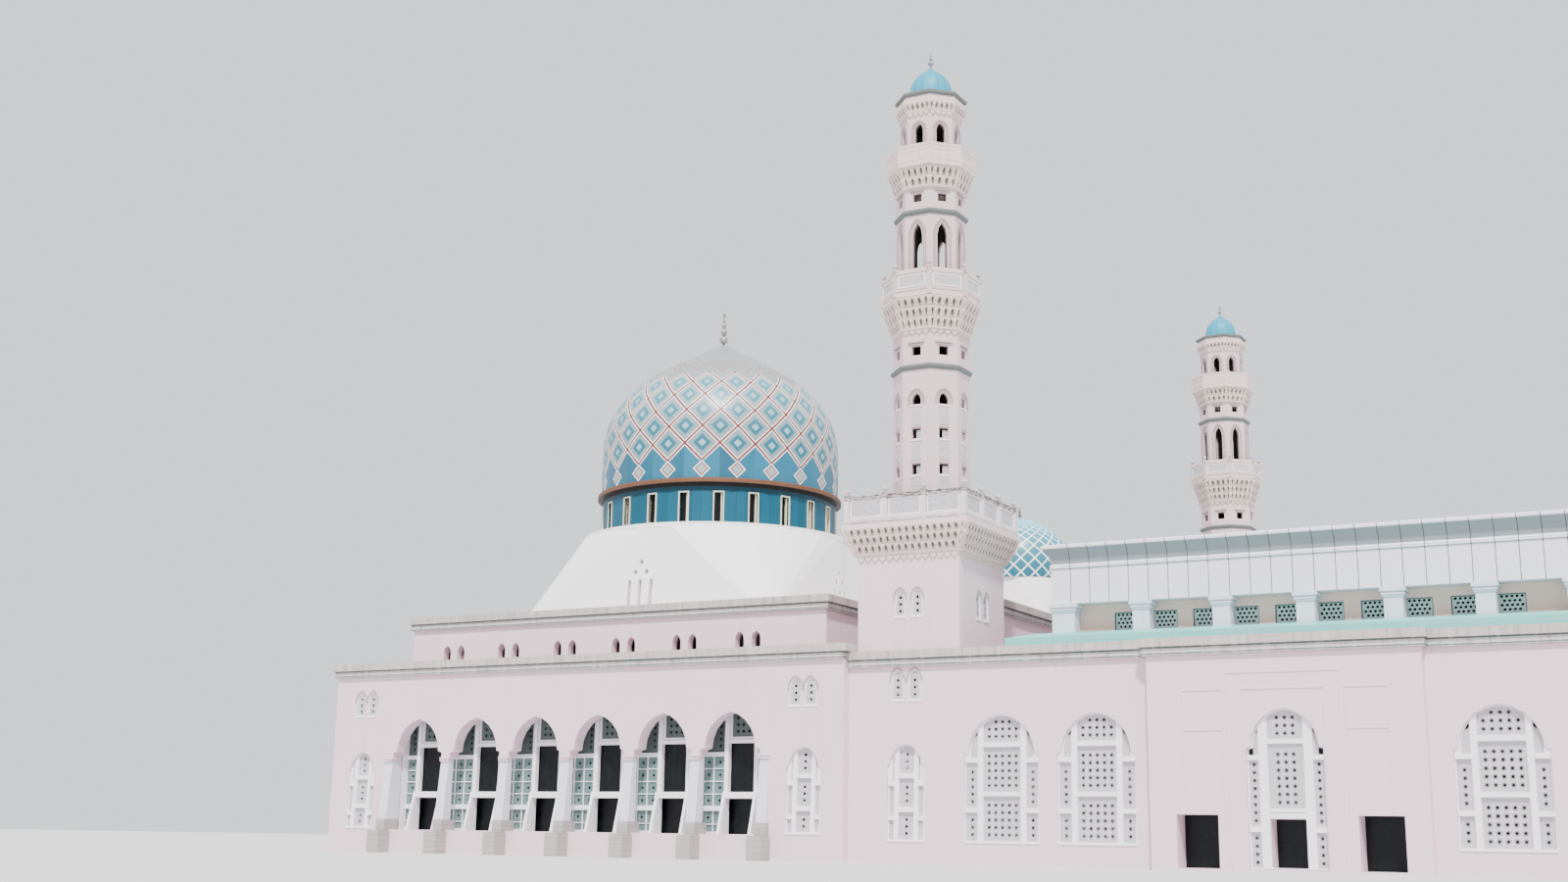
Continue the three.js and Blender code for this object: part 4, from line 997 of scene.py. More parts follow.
def rounded(line, parts):
    """More points on a smooth curve through a line of radius and height."""
    points = [line[0]] + line + [line[-1]]
    result = []
    for i in range(1, len(points) - 2):
        before, here, there, after = points[i - 1:i + 3]
        for k in range(parts):
            t = k / parts
            result.append(tuple(0.5 * (2 * b + (c - a) * t + (2 * a - 5 * b + 4 * c - d) * t * t
                + (3 * b - a - 3 * c + d) * t ** 3) for a, b, c, d in zip(before, here, there,
                after)))
    return result + [line[-1]]


def row_at(table, z):
    """The tile row at a height, from a table of heights and rows."""
    for (z0, row0), (z1, row1) in zip(table, table[1:]):
        if z <= z1 or z1 == table[-1][0]:
            return row0 + (row1 - row0) * (z - z0) / (z1 - z0)


def even_rows(line, columns, zero):
    """A table of heights and rows that are as high as the columns are wide."""
    table = [(line[0][1], 0.0)]
    for (r0, z0), (r1, z1) in zip(line, line[1:]):
        step = math.hypot(r1 - r0, z1 - z0) / ((r0 + r1) / 2) * columns / math.tau
        table.append((z1, table[-1][1] + step))
    start = row_at(table, zero)
    return [(z, row - start) for z, row in table]


def unwrap_columns(obj, x, y, columns, turn, table):
    """A UV map that counts tile columns round a dome and rows up it."""
    layer = obj.data.uv_layers.new(name="tile_columns")

    def column(point):
        return (math.atan2(point.y - y, point.x - x) + math.pi / 2 - turn) * columns / math.tau
    for face in obj.data.polygons:
        middle = column(face.center)
        for index in face.loop_indices:
            point = obj.data.vertices[obj.data.loops[index].vertex_index].co
            u = middle if math.hypot(point.x - x, point.y - y) < 1e-3 else column(point)
            u += columns * round((middle - u) / columns)
            layer.data[index].uv = (u, row_at(table, point.z))


def build_main_dome():
    """Tiled dome shell, copper band, drum frames and finial."""
    steps = sizes().dome_steps
    line = rounded(DOME_LINE, 4)
    inner = [(max(r - 0.35, 0.0), z - (0.0 if i == 0 else 0.3))
        for i, (r, z) in enumerate(DOME_LINE)]
    shell = lathe(line + [(0.0, 37.66), (0.0, 37.1)] + list(reversed(inner)) + [line[0]], steps,
        DOME_X, DOME_Y)
    unwrap_columns(shell, DOME_X, DOME_Y, DRUM_SIDES, DOME_TURN, DOME_ROWS)
    set_piece(smooth(shell), "dome_tiles", "dome_tile", ["dome_shell"])

    section = [(8.5, 24.56), (8.95, 24.56), (8.95, 24.76), (9.3, 24.77), (9.36, 24.82),
        (9.36, 25.06), (9.3, 25.12), (9.12, 25.14), (9.12, 24.94), (8.5, 24.94), (8.5, 24.56)]
    band = lathe(section, steps, DOME_X, DOME_Y)
    set_piece(smooth(band), "dome_band", "copper", ["dome_ring"])

    slot = rectangle(-0.31, 0.31, 21.9, 24.1)
    wide = rectangle(-0.4, 0.4, 21.81, 24.19)
    frames = ring_prism([(u, -8.99, z) for u, z in wide], 0.09, (0, 0.55, 0))
    sill = bar(-0.46, 0.46, -9.02, -8.8, 21.7, 21.81)
    pane = prism([(u, -8.62, z) for u, z in slot], (0, 0.06, 0))
    curtain = bar(0.16, 0.26, -8.82, -8.64, 21.92, 24.08, 0.01)
    framed = around(joined([frames, sill, curtain]), DRUM_SIDES, DOME_X, DOME_Y, DOME_TURN)
    set_piece(framed, "drum_slot_frames", "slot_frame")
    panes = around(pane, DRUM_SIDES, DOME_X, DOME_Y, DOME_TURN)
    set_piece(panes, "drum_slot_panes", "glass")

    balls = [(0.0, 37.6)]
    for centre, radius in ((37.98, 0.33), (38.62, 0.27), (39.16, 0.2), (39.56, 0.13)):
        balls += [(radius * math.cos(a), centre + radius * math.sin(a)) for a in (-1.25, -0.8, -0.3,
            0.2, 0.7, 1.25)]
    balls += [(0.07, 39.8), (0.13, 40.1), (0.06, 40.3), (0.0, 40.52)]
    finial = lathe(balls, 16, DOME_X, DOME_Y)
    set_piece(smooth(finial, 60), "dome_finial_balls", "metal", ["dome_finial"])


def build_dome_base():
    """Kerb round the platform of the white base."""
    kerb = lathe([(9.9, 21.6), (9.9, 21.72), (10.28, 21.72), (10.33, 21.66), (10.33, 21.42),
        (10.28, 21.36), (10.1, 21.36), (9.9, 21.6)], 64, DOME_X, DOME_Y)
    set_piece(smooth(kerb), "dome_base_kerb", "roof")


def build_small_dome():
    """Tiled shell and finial of the small dome."""
    line = rounded(SMALL_LINE, 4)
    inner = [(max(r - 0.25, 0.0), z - (0.0 if i == 0 else 0.2))
        for i, (r, z) in enumerate(SMALL_LINE)]
    shell = lathe(line + [(0.0, 23.16), (0.0, 22.9)] + list(reversed(inner)) + [line[0]], 48,
        SMALL_X, SMALL_Y)
    tip = lathe([(0.0, 23.08), (0.2, 23.1), (0.07, 23.24), (0.15, 23.34), (0.15, 23.4),
        (0.06, 23.5), (0.12, 23.6), (0.12, 23.66), (0.04, 23.76), (0.07, 23.84), (0.0, 24.0)], 12,
        SMALL_X, SMALL_Y)
    both = joined([shell, tip])
    unwrap_columns(both, SMALL_X, SMALL_Y, SMALL_COLUMNS, 0.0,
        even_rows(line + [(0.0, 24.01)], SMALL_COLUMNS, 18.62))
    set_piece(smooth(both), "small_dome_tiles", "small_dome", ["small_dome"])


# ---- minarets ----

def at_towers(template, part, look, replaced=()):
    """Sets one part, drawn round the tower's own axis, on both minarets."""
    for side, (x, y) in TOWERS.items():
        set_piece(duplicate(template, at(x, y)), f"{side}_minaret_{part}", look,
            [f"{side}_minaret_{node}" for node in replaced])
    bpy.data.objects.remove(template)


def ring_of_sides(sides, profile):
    """A band with flat sides; the profile gives distances from the axis to a side's middle."""
    corner = 1 / math.cos(math.pi / sides)
    obj = lathe([(r * corner, z) for r, z in profile], sides)
    obj.data.transform(turned(math.pi / sides))
    return obj


def niche_row(sides, back, depth, foot, height, pitch=None):
    """One row of small arched niches between brackets, under a flat fillet."""
    pitch = pitch or sizes().niche_pitch
    front = back + depth
    length = 2 * front * math.tan(math.pi / sides)
    count = round(length / pitch)
    step = length / count
    turns = [turned(i * math.tau / sides) for i in range(sides)]
    reach = [(0.0, 0.0), (0.22, 0.02), (0.4, 0.16), (0.55, 0.42), (0.86, 0.56), (1.0, 0.74),
        (1.0, 1.0), (0.0, 1.0)]
    half = step * 0.29
    section = [(-half, -back - depth * r, foot + height * s) for r, s in reach]
    bracket = prism(section, (2 * half, 0, 0))
    corner = duplicate(bracket)
    straight = [turn @ at(-length / 2 + i * step, 0) for turn in turns for i in range(1, count)]
    diagonal = turned(math.pi / sides) @ Matrix.Scale(1 / math.cos(math.pi / sides), 4, (0, 1, 0))
    brackets = copies(bracket, straight)
    corners = copies(corner, [turn @ diagonal for turn in turns])
    low, high = foot + height * 0.56, foot + height * 0.8
    points = [(step / 2 - half * 0.9, low), (step * 0.22, low + (high - low) * 0.6),
        (step * 0.1, high), (-step * 0.1, high), (-step * 0.22, low + (high - low) * 0.6),
        (half * 0.9 - step / 2, low), (half * 0.9 - step / 2, foot + height),
        (step / 2 - half * 0.9, foot + height)]
    head = prism([(x, -back - depth * 0.92, z) for x, z in points], (0, depth * 0.92, 0))
    between_brackets = [turn @ at(-length / 2 + (i + 0.5) * step, 0) for turn in turns
        for i in range(count)]
    heads = copies(head, between_brackets)
    # Dark panels deep in the niches: painted shade in the cups between the brackets.
    gap = step / 2 - half * 0.95
    cup_foot = foot + height * 0.3
    outline = [(gap, cup_foot), (gap, high), (-gap, high), (-gap, cup_foot)]
    cup = prism([(x, -back - depth * 0.45, z) for x, z in outline], (0, 0.05, 0))
    layer = cup.data.uv_layers.new(name="cup")
    for item in layer.data:
        item.uv = (1.0, 0.0)
    cup_shades = copies(cup, between_brackets)
    z0, z1 = foot + height * 0.88, foot + height
    fillet = ring_of_sides(sides, [(back, z0), (front + 0.02, z0), (front + 0.02, z1), (back, z1),
        (back, z0)])
    return joined([cup_shades, brackets, corners, heads, fillet])


def drop_fringe(sides, back, top, pitch, drop=0.34):
    """Pointed tabs that hang under a corbel."""
    length = 2 * back * math.tan(math.pi / sides)
    count = max(2, round(length / pitch))
    step = length / count
    side = [(0.47 * step, 0), (0.4 * step, -0.3 * drop), (0.22 * step, -0.62 * drop),
        (0.06 * step, -0.8 * drop)]
    points = side + [(0, -drop)] + [(-x, z) for x, z in reversed(side)]
    tab = prism([(x, -back - 0.11, top + z) for x, z in reversed(points)], (0, 0.12, 0))
    return copies(tab, [turned(k * math.tau / sides) @ at(-length / 2 + (i + 0.5) * step, 0)
        for k in range(sides) for i in range(count)])


def small_screen(x, width, sill, top, wall):
    """Frame, pierced panel and ledge of one small arched window in a wall facing front."""
    half = width / 2
    spring = top - 0.75 * width
    outer = arch_points(x, sill + 0.01, spring, top - 0.01, half - 0.01, 4)
    frame = ring_prism([(u, wall + 0.03, z) for u, z in outer], 0.06, (0, 0.16, 0))
    inner = arch_points(x, sill + 0.06, spring, top - 0.07, half - 0.06, 4)
    panel = lattice(inner, wall + 0.08, 0.06, (x, sill + 0.35), sizes().lattice_pitch)
    ledge = bar(x - half - 0.06, x + half + 0.06, wall - 0.05, wall + 0.1, sill - 0.09, sill + 0.01)
    return joined([frame, panel, ledge])


def hood(x, width, top, wall):
    """A shallow moulding round the head of a small arched window."""
    reach = 0.03
    band = arch_band(width / 2 + 0.02, 0.1, top - 0.75 * width, top + 0.02, top - 0.95 * width,
        wall - reach, reach + 0.1)
    band.data.transform(at(x, 0))
    return band


def ball_finial(x, y, z):
    """A bowl and ball on a balcony post."""
    return smooth(lathe([(0.0, z), (0.09, z), (0.06, z + 0.08), (0.17, z + 0.15), (0.2, z + 0.24),
        (0.16, z + 0.32), (0.06, z + 0.36), (0.0, z + 0.37)], 10, x, y), 50)


def build_minaret_bases():
    """Corbel under the terrace, its balustrade and the base's windows."""
    half = BASE_HALF
    rows = [ring_of_sides(BASE_SIDES, [(half, 16.86), (half + 0.1, 16.9), (half + 0.2, 17.0),
        (half + 0.24, 17.1), (half + 0.1, 17.14), (half, 17.14), (half, 16.86)]),
        drop_fringe(BASE_SIDES, half, 16.88, 0.48)]
    for back, depth, foot, height in ((half + 0.17, 0.26, 17.1, 0.51),
            (half + 0.41, 0.26, 17.61, 0.5), (half + 0.61, 0.21, 18.11, 0.5)):
        rows.append(niche_row(BASE_SIDES, back, depth, foot, height))
    at_towers(joined(rows), "corbel", "corbel")

    windows = []
    hoods = []
    infills = []
    width, sill, top = 0.7, 13.1, 14.8
    for x in (-0.56, 0.59):
        windows.append(small_screen(x, width, sill, top, -half))
        hoods.append(hood(x, width, top, -half))
        wide = arch_points(x, sill, 14.87, 15.52, 0.435, 5)
        inner = arch_points(x, sill, top - 0.75 * width, top, width / 2, 5)
        infills.append(prism([(u, -half - 0.005, z) for u, z in wide + list(reversed(inner))],
            (0, 0.3, 0)))
    at_towers(around(joined(infills), BASE_SIDES), "base_infills", "tower")
    at_towers(around(joined(windows), BASE_SIDES), "base_windows", "screen")
    at_towers(around(joined(hoods), BASE_SIDES), "base_hoods", "hood")

    rail = 4.12
    step = (2 * rail - 0.36) / 3
    posts = []
    for i in range(3):
        x = -rail + 0.18 + i * step
        posts.append(bar(x - 0.17, x + 0.17, -rail - 0.02, -rail + 0.32, 18.903, 20.8))
        posts.append(ball_finial(x, -rail + 0.15, 20.79))
    rails = [bar(-rail + 0.02, rail - 0.02, -rail + 0.04, -rail + 0.26, z0, z1)
        for z0, z1 in ((18.96, 19.3), (20.42, 20.68))]
    fillets = [bar(-rail + 0.02, rail - 0.02, -rail, -rail + 0.3, 20.64, 20.7)]
    at_towers(around(joined(posts + rails + fillets), BASE_SIDES), "terrace_rail",
        "rail", ["terrace_balustrade"])
    panels = []
    for i in range(3):
        x0 = -rail + 0.4 + i * step
        x1 = x0 + step - 0.44
        outline = rectangle(x0, x1, 19.3, 20.42)
        panels.append(ring_prism([(x, -rail + 0.1, z) for x, z in outline], 0.09, (0, 0.08, 0)))
        inside = rectangle(x0 + 0.08, x1 - 0.08, 19.38, 20.34)
        panels.append(lattice(inside, -rail + 0.12, 0.05, ((x0 + x1) / 2, 19.86), PANEL_PITCH,
            0.07))
    at_towers(around(joined(panels), BASE_SIDES), "terrace_panels", "screen")


def build_minaret_shafts():
    """Mouldings, pierced panels and hoods on the eight-sided shafts."""
    face = LOWER_SHAFT * OCTAGON
    light = [bar(-0.38, 0.38, -face - 0.05, -face + 0.02, z - 0.08, z)
        for z in (22.07, 24.37, 26.6)]
    for z0, z1 in ((19.3, 20.7), (20.85, 21.9), (23.05, 24.22), (25.3, 26.45)):
        outline = rectangle(-0.3, 0.3, z0, z1)
        light.append(lattice(outline, -face - 0.03, 0.05, (0, (z0 + z1) / 2), PANEL_PITCH, 0.11))
    for z0 in (22.2, 24.5):
        outline = rectangle(-0.05, 0.31, z0 - 0.05, z0 + 0.5)
        light.append(lattice(outline, -face + 0.14, 0.05, (0.12, z0 + 0.2), 0.3, 0.08))
    at_towers(around(joined(light), SHAFT_SIDES), "shaft_panels", "screen")

    plain = []
    for half, thick in ((0.38, 0.07), (0.52, 0.07)):
        plain.append(arch_band(half, thick, 26.95, 27.42 + (half - 0.3) * 0.9, 26.7, -face - 0.05,
            0.08))
    for z in (22.84, 25.14):
        plain.append(bar(-0.36, 0.36, -face - 0.04, -face + 0.02, z, z + 0.06))
    for z0, reach, width in ((30.5, 0.07, 0.86), (30.64, 0.11, 1.16)):
        plain.append(bar(-width / 2, width / 2, -face - reach, -face + 0.02, z0, z0 + 0.08))
    middle = MIDDLE_SHAFT * OCTAGON
    for half, thick in ((0.42, 0.07), (0.56, 0.07)):
        plain.append(arch_band(half, thick, 37.9, 38.8 + (half - 0.34) * 0.9, 34.0, -middle - 0.05,
            0.08))
    for z0, reach, width in ((40.8, 0.06, 0.8), (40.92, 0.1, 1.06)):
        plain.append(bar(-width / 2, width / 2, -middle - reach, -middle + 0.02, z0, z0 + 0.07))
    top = LANTERN * OCTAGON
    for half, thick in ((0.36, 0.06), (0.48, 0.06)):
        plain.append(arch_band(half, thick, 45.25, 45.7 + (half - 0.3) * 0.9, 43.0, -top - 0.05,
            0.08))
    at_towers(around(joined(plain), SHAFT_SIDES), "hood_mouldings", "hood")

    bands = []
    for radius, z in ((LOWER_SHAFT, 29.12), (MIDDLE_SHAFT, 39.52)):
        a = radius * OCTAGON
        bands.append(ring_of_sides(SHAFT_SIDES,
            [(a - 0.02, z - 0.22), (a + 0.1, z - 0.16), (a + 0.17, z - 0.04), (a + 0.17, z + 0.08),
            (a + 0.08, z + 0.14), (a - 0.02, z + 0.2), (a - 0.02, z - 0.22)]))
    a = 2.26 * OCTAGON
    bands.append(ring_of_sides(SHAFT_SIDES, [(a - 0.1, 47.6), (a + 0.05, 47.66), (a + 0.13, 47.72),
        (a + 0.13, 47.84), (a + 0.08, 47.905), (a - 0.1, 47.92), (a - 0.1, 47.6)]))
    at_towers(joined(bands), "shaft_rings", "ring_band")


def build_minaret_balconies():
    """The two balconies on niche corbels, the lantern's corbel and the cap."""
    a = 3.26 * OCTAGON
    core = ring_of_sides(SHAFT_SIDES, [(0.0, 31.6), (2.32, 31.6), (2.32, 32.27), (2.5, 32.27),
        (2.5, 32.93), (2.68, 32.93), (2.68, 33.55), (a - 0.06, 33.6), (a - 0.06, 33.98), (a, 34.0),
        (a, 34.1), (a - 0.1, 34.14), (a - 0.1, 35.1), (a, 35.12), (a + 0.02, 35.3),
        (a - 0.02, 35.38), (a - 0.24, 35.38), (a - 0.24, 33.9), (0.0, 33.9), (0.0, 31.6)])
    parts = [core, drop_fringe(SHAFT_SIDES, LOWER_SHAFT * OCTAGON, 31.5, 0.5, 0.3),
        ring_of_sides(SHAFT_SIDES, [(2.2, 31.48), (2.38, 31.5), (2.46, 31.56), (2.46, 31.64),
        (2.2, 31.66), (2.2, 31.48)])]
    for back, depth, foot in ((2.3, 0.26, 31.64), (2.48, 0.27, 32.28), (2.66, 0.3, 32.93)):
        parts.append(niche_row(SHAFT_SIDES, back, depth, foot, 0.63))
    at_towers(joined(parts), "lower_gallery", "corbel", ["lower_balcony"])
    side = a * math.tan(math.pi / SHAFT_SIDES)
    corner = a / OCTAGON
    post = joined([bar(corner - 0.28, corner, -0.15, 0.15, 33.62, 35.5),
        ball_finial(corner - 0.14, 0, 35.49)])
    post.data.transform(turned(-math.pi / 2 + math.pi / SHAFT_SIDES))
    outline = rectangle(-side + 0.28, side - 0.28, 34.2, 35.02)
    panels = [ring_prism([(x, -a + 0.03, z) for x, z in outline], 0.07, (0, 0.1, 0))]
    inside = rectangle(-side + 0.34, side - 0.34, 34.26, 34.96)
    panels.append(lattice(inside, -a + 0.055, 0.05, (0, 34.61), 0.35, 0.08))
    at_towers(around(joined(panels), SHAFT_SIDES), "lower_gallery_panels",
        "screen")
    at_towers(around(post, SHAFT_SIDES), "lower_gallery_posts", "rail")

    b = 2.9 * OCTAGON
    core = ring_of_sides(SHAFT_SIDES, [(0.0, 41.2), (2.14, 41.2), (2.14, 41.86), (2.3, 41.86),
        (2.3, 42.48), (b, 42.52), (b, 43.78), (b + 0.03, 43.82), (b + 0.03, 43.98),
        (b - 0.2, 43.98), (b - 0.2, 42.75), (0.0, 42.75), (0.0, 41.2)])
    outline = [(x, -b - 0.02, z) for x, z in rectangle(-0.85, 0.85, 42.85, 43.55)]
    frames = around(ring_prism(outline, 0.06, (0, 0.04, 0)), SHAFT_SIDES)
    parts = [core, frames, ring_of_sides(SHAFT_SIDES,
        [(2.05, 41.1), (2.2, 41.12), (2.28, 41.18), (2.28, 41.25), (2.05, 41.27), (2.05, 41.1)])]
    for back, depth, foot in ((2.12, 0.24, 41.24), (2.28, 0.27, 41.87)):
        parts.append(niche_row(SHAFT_SIDES, back, depth, foot, 0.62))
    at_towers(joined(parts), "upper_gallery", "corbel", ["upper_balcony"])

    parts = [niche_row(SHAFT_SIDES, 2.1 * OCTAGON, 0.22, 46.62, 0.5, 0.36),
        drop_fringe(SHAFT_SIDES, LANTERN * OCTAGON, 46.5, 0.42, 0.28),
        ring_of_sides(SHAFT_SIDES, [(1.8, 46.48), (1.96, 46.5), (2.02, 46.56), (2.02, 46.64),
        (1.8, 46.66), (1.8, 46.48)]),
        ring_of_sides(SHAFT_SIDES, [(1.9, 47.1), (2.16, 47.1), (2.16, 47.46), (1.9, 47.46),
        (1.9, 47.1)])]
    at_towers(joined(parts), "lantern_corbel", "corbel")

    line = [(0.0, 47.91), (1.46, 47.91), (1.45, 48.2), (1.42, 48.55), (1.33, 48.95), (1.2, 49.25),
        (1.02, 49.52), (0.8, 49.76), (0.5, 49.98), (0.25, 50.15), (0.12, 50.3)]
    balls = [(0.07, 50.4), (0.07, 50.5), (0.17, 50.58), (0.2, 50.68), (0.15, 50.78), (0.05, 50.86),
        (0.13, 50.95), (0.14, 51.05), (0.04, 51.14), (0.08, 51.26), (0.03, 51.38), (0.0, 51.65)]
    cap = lathe(line + balls, 48)
    at_towers(smooth(cap, 40), "cap_tiles", "cap", ["cap"])


# ---- windows ----

def arch_height(x, half, spring, apex):
    """Height of a pointed arch at a distance from its middle."""
    rise = apex - spring
    radius = (rise * rise + half * half) / (2 * half)
    return spring + math.sqrt(max(0.0, radius * radius - (abs(x) - (half - radius)) ** 2))


def under_arch(x0, x1, z0, arch, margin):
    """The outline of a panel from z0 up to a margin under an arch (half width, springing, apex)."""
    steps = [x1 - (x1 - x0) * i / 8 for i in range(9)]
    over = [(x, arch_height(x, *arch) - margin) for x in steps]
    return [(x0, z0), (x1, z0)] + [(x, z) for x, z in over if z > z0 + 0.01]


def mullion(side, m0, m1, foot, arch, y, depth):
    """An upright from m0 to m1 on one side of a window, cut to the arch."""
    points = [(m0, foot), (m1, foot), (m1, arch_height(m1, *arch) - 0.03),
        (m0, arch_height(m0, *arch) - 0.03)]
    return prism([(side * x, y, z) for x, z in points], (0, depth, 0))


def screen_window(half, arch_half, sill, spring, apex, uprights, centre_rails, side_rails, pitch):
    """A white framed window with mullions, rails and pierced panels, facing front at y = 0."""
    m0, m1 = uprights
    edge, panel_y, thin = 0.07, 0.13, 0.05
    arch = (arch_half, spring, apex)
    outer = arch_points(0, sill + 0.01, spring, apex - 0.01, arch_half - 0.01, 8, half - 0.01)
    parts = [ring_prism([(x, 0.02, z) for x, z in outer], edge, (0, 0.2, 0)),
        bar(-half, half, -0.06, 0.2, sill - 0.02, sill + 0.13)]
    for side in (-1, 1):
        parts.append(mullion(side, m0, m1, sill, arch, 0.01, 0.2))
        for z0, z1 in side_rails:
            x0, x1 = sorted((side * (m1 - 0.02), side * (half - 0.02)))
            parts.append(bar(x0, x1, -0.05, 0.2, z0, z1))
        x0, x1 = sorted((side * (arch_half - 0.1), side * (half - 0.01)))
        parts.append(bar(x0, x1, -0.04, 0.2, side_rails[-1][1] - 0.01, spring + 0.02))
    for z0, z1 in centre_rails:
        parts.append(bar(-m0 - 0.02, m0 + 0.02, -0.05, 0.2, z0, z1))
    levels = [sill + 0.12] + [z for rail in centre_rails for z in rail]
    for z0, z1 in zip(levels[::2], levels[1::2]):
        parts.append(lattice(rectangle(-m0, m0, z0, z1), panel_y, thin, (0, z0 + 0.36), pitch))
    parts.append(lattice(under_arch(-m0, m0, levels[-1], arch, edge), panel_y, thin,
        (0, levels[-1] + 0.33), pitch))
    levels = [sill + 0.12] + [z for rail in side_rails for z in rail]
    end = half - edge
    for side in (-1, 1):
        middle = side * (m1 + end) / 2
        for z0, z1 in zip(levels[::2], levels[1::2]):
            panel = rectangle(side * m1, side * end, z0, z1)
            parts.append(lattice(panel, panel_y, thin, (middle, z0 + 0.36), pitch))
        x0, x1 = sorted((side * m1, side * (arch_half - 0.08)))
        parts.append(lattice(under_arch(x0, x1, levels[-1], arch, edge), panel_y, thin,
            (middle, levels[-1] + 0.36), pitch))
    window = joined(parts)
    lean = Matrix.Identity(4)
    lean[1][2] = 0.2 / (apex - sill)
    lean[1][3] = -lean[1][2] * sill
    window.data.transform(lean)
    return window


def large_window():
    """One of the wing's wide windows."""
    return screen_window(2.32, 2.06, -0.3, 4.85, 7.05, (1.16, 1.5), ((2.36, 2.62), (5.17, 5.46)),
        ((1.43, 1.7), (4.28, 4.56)), sizes().lattice_pitch)


def narrow_window(sill, spring, apex):
    """One of the narrow windows near a corner."""
    return screen_window(1.2, 1.02, sill, spring, apex, (0.5, 0.78), ((1.43, 1.72), (3.4, 3.68)),
        ((0.95, 1.2), (2.95, 3.25)), sizes().lattice_pitch * 0.95)


def wing_window_places():
    """Where the wing's windows stand: wide ones, narrow ones and small ones, by wall."""
    y0, y1 = WING_FRONT + WING_WALL, WING_BACK - WING_WALL
    turn = {"right": turned(math.pi / 2), "left": turned(-math.pi / 2), "back": turned(math.pi),
        "front": Matrix.Identity(4)}
    along = [(y0 + y1) / 2 + (i - 5) * 6.2 for i in range(11)]
    wide = {
        "front": [at(BAY_CENTRE + s * u, WING_FRONT) for s in (-1, 1) for u in (10.73, 16.48)],
        "back": [at(BAY_CENTRE + u, WING_BACK) @ turn["back"]
                 for u in (-16.48, -10.73, 0, 10.73, 16.48)],
        "right": [at(WING_RIGHT, y) @ turn["right"] for y in along],
        "left": [at(HALL_WIDTH + 0.003, y) @ turn["left"] for y in along
                 if HALL_DEPTH + 4 < y < TOWERS["rear"][1] - 6.42],
    }
    ends = {"front": (WING_FRONT, turn["front"]), "back": (WING_BACK, turn["back"])}
    return wide, ends


def build_wing_windows():
    """The wing's windows on all four walls."""
    wide, ends = wing_window_places()
    master = large_window()
    for wall, places in wide.items():
        set_piece(copies(duplicate(master), places), f"wing_{wall}_windows",
            "screen")
    bpy.data.objects.remove(master)

    narrow = narrow_window(-0.28, 4.25, 5.42)
    places = [at(BAY_CENTRE + s * 22.59, y) @ turn for y, turn in ends.values() for s in (-1, 1)]
    set_piece(copies(narrow, places), "wing_narrow_windows", "screen")
    small = small_screen(0, 0.82, 8.0, 9.85, 0.0)
    heads = hood(0, 0.82, 9.85, 0.0)
    places = [at(BAY_CENTRE + s * u, y) @ turn for y, turn in ends.values() for s in (-1, 1)
        for u in (22.0, 23.12)]
    set_piece(copies(small, places), "wing_small_windows", "screen")
    set_piece(copies(heads, places), "wing_small_hoods", "hood")


# ---- entrance ----

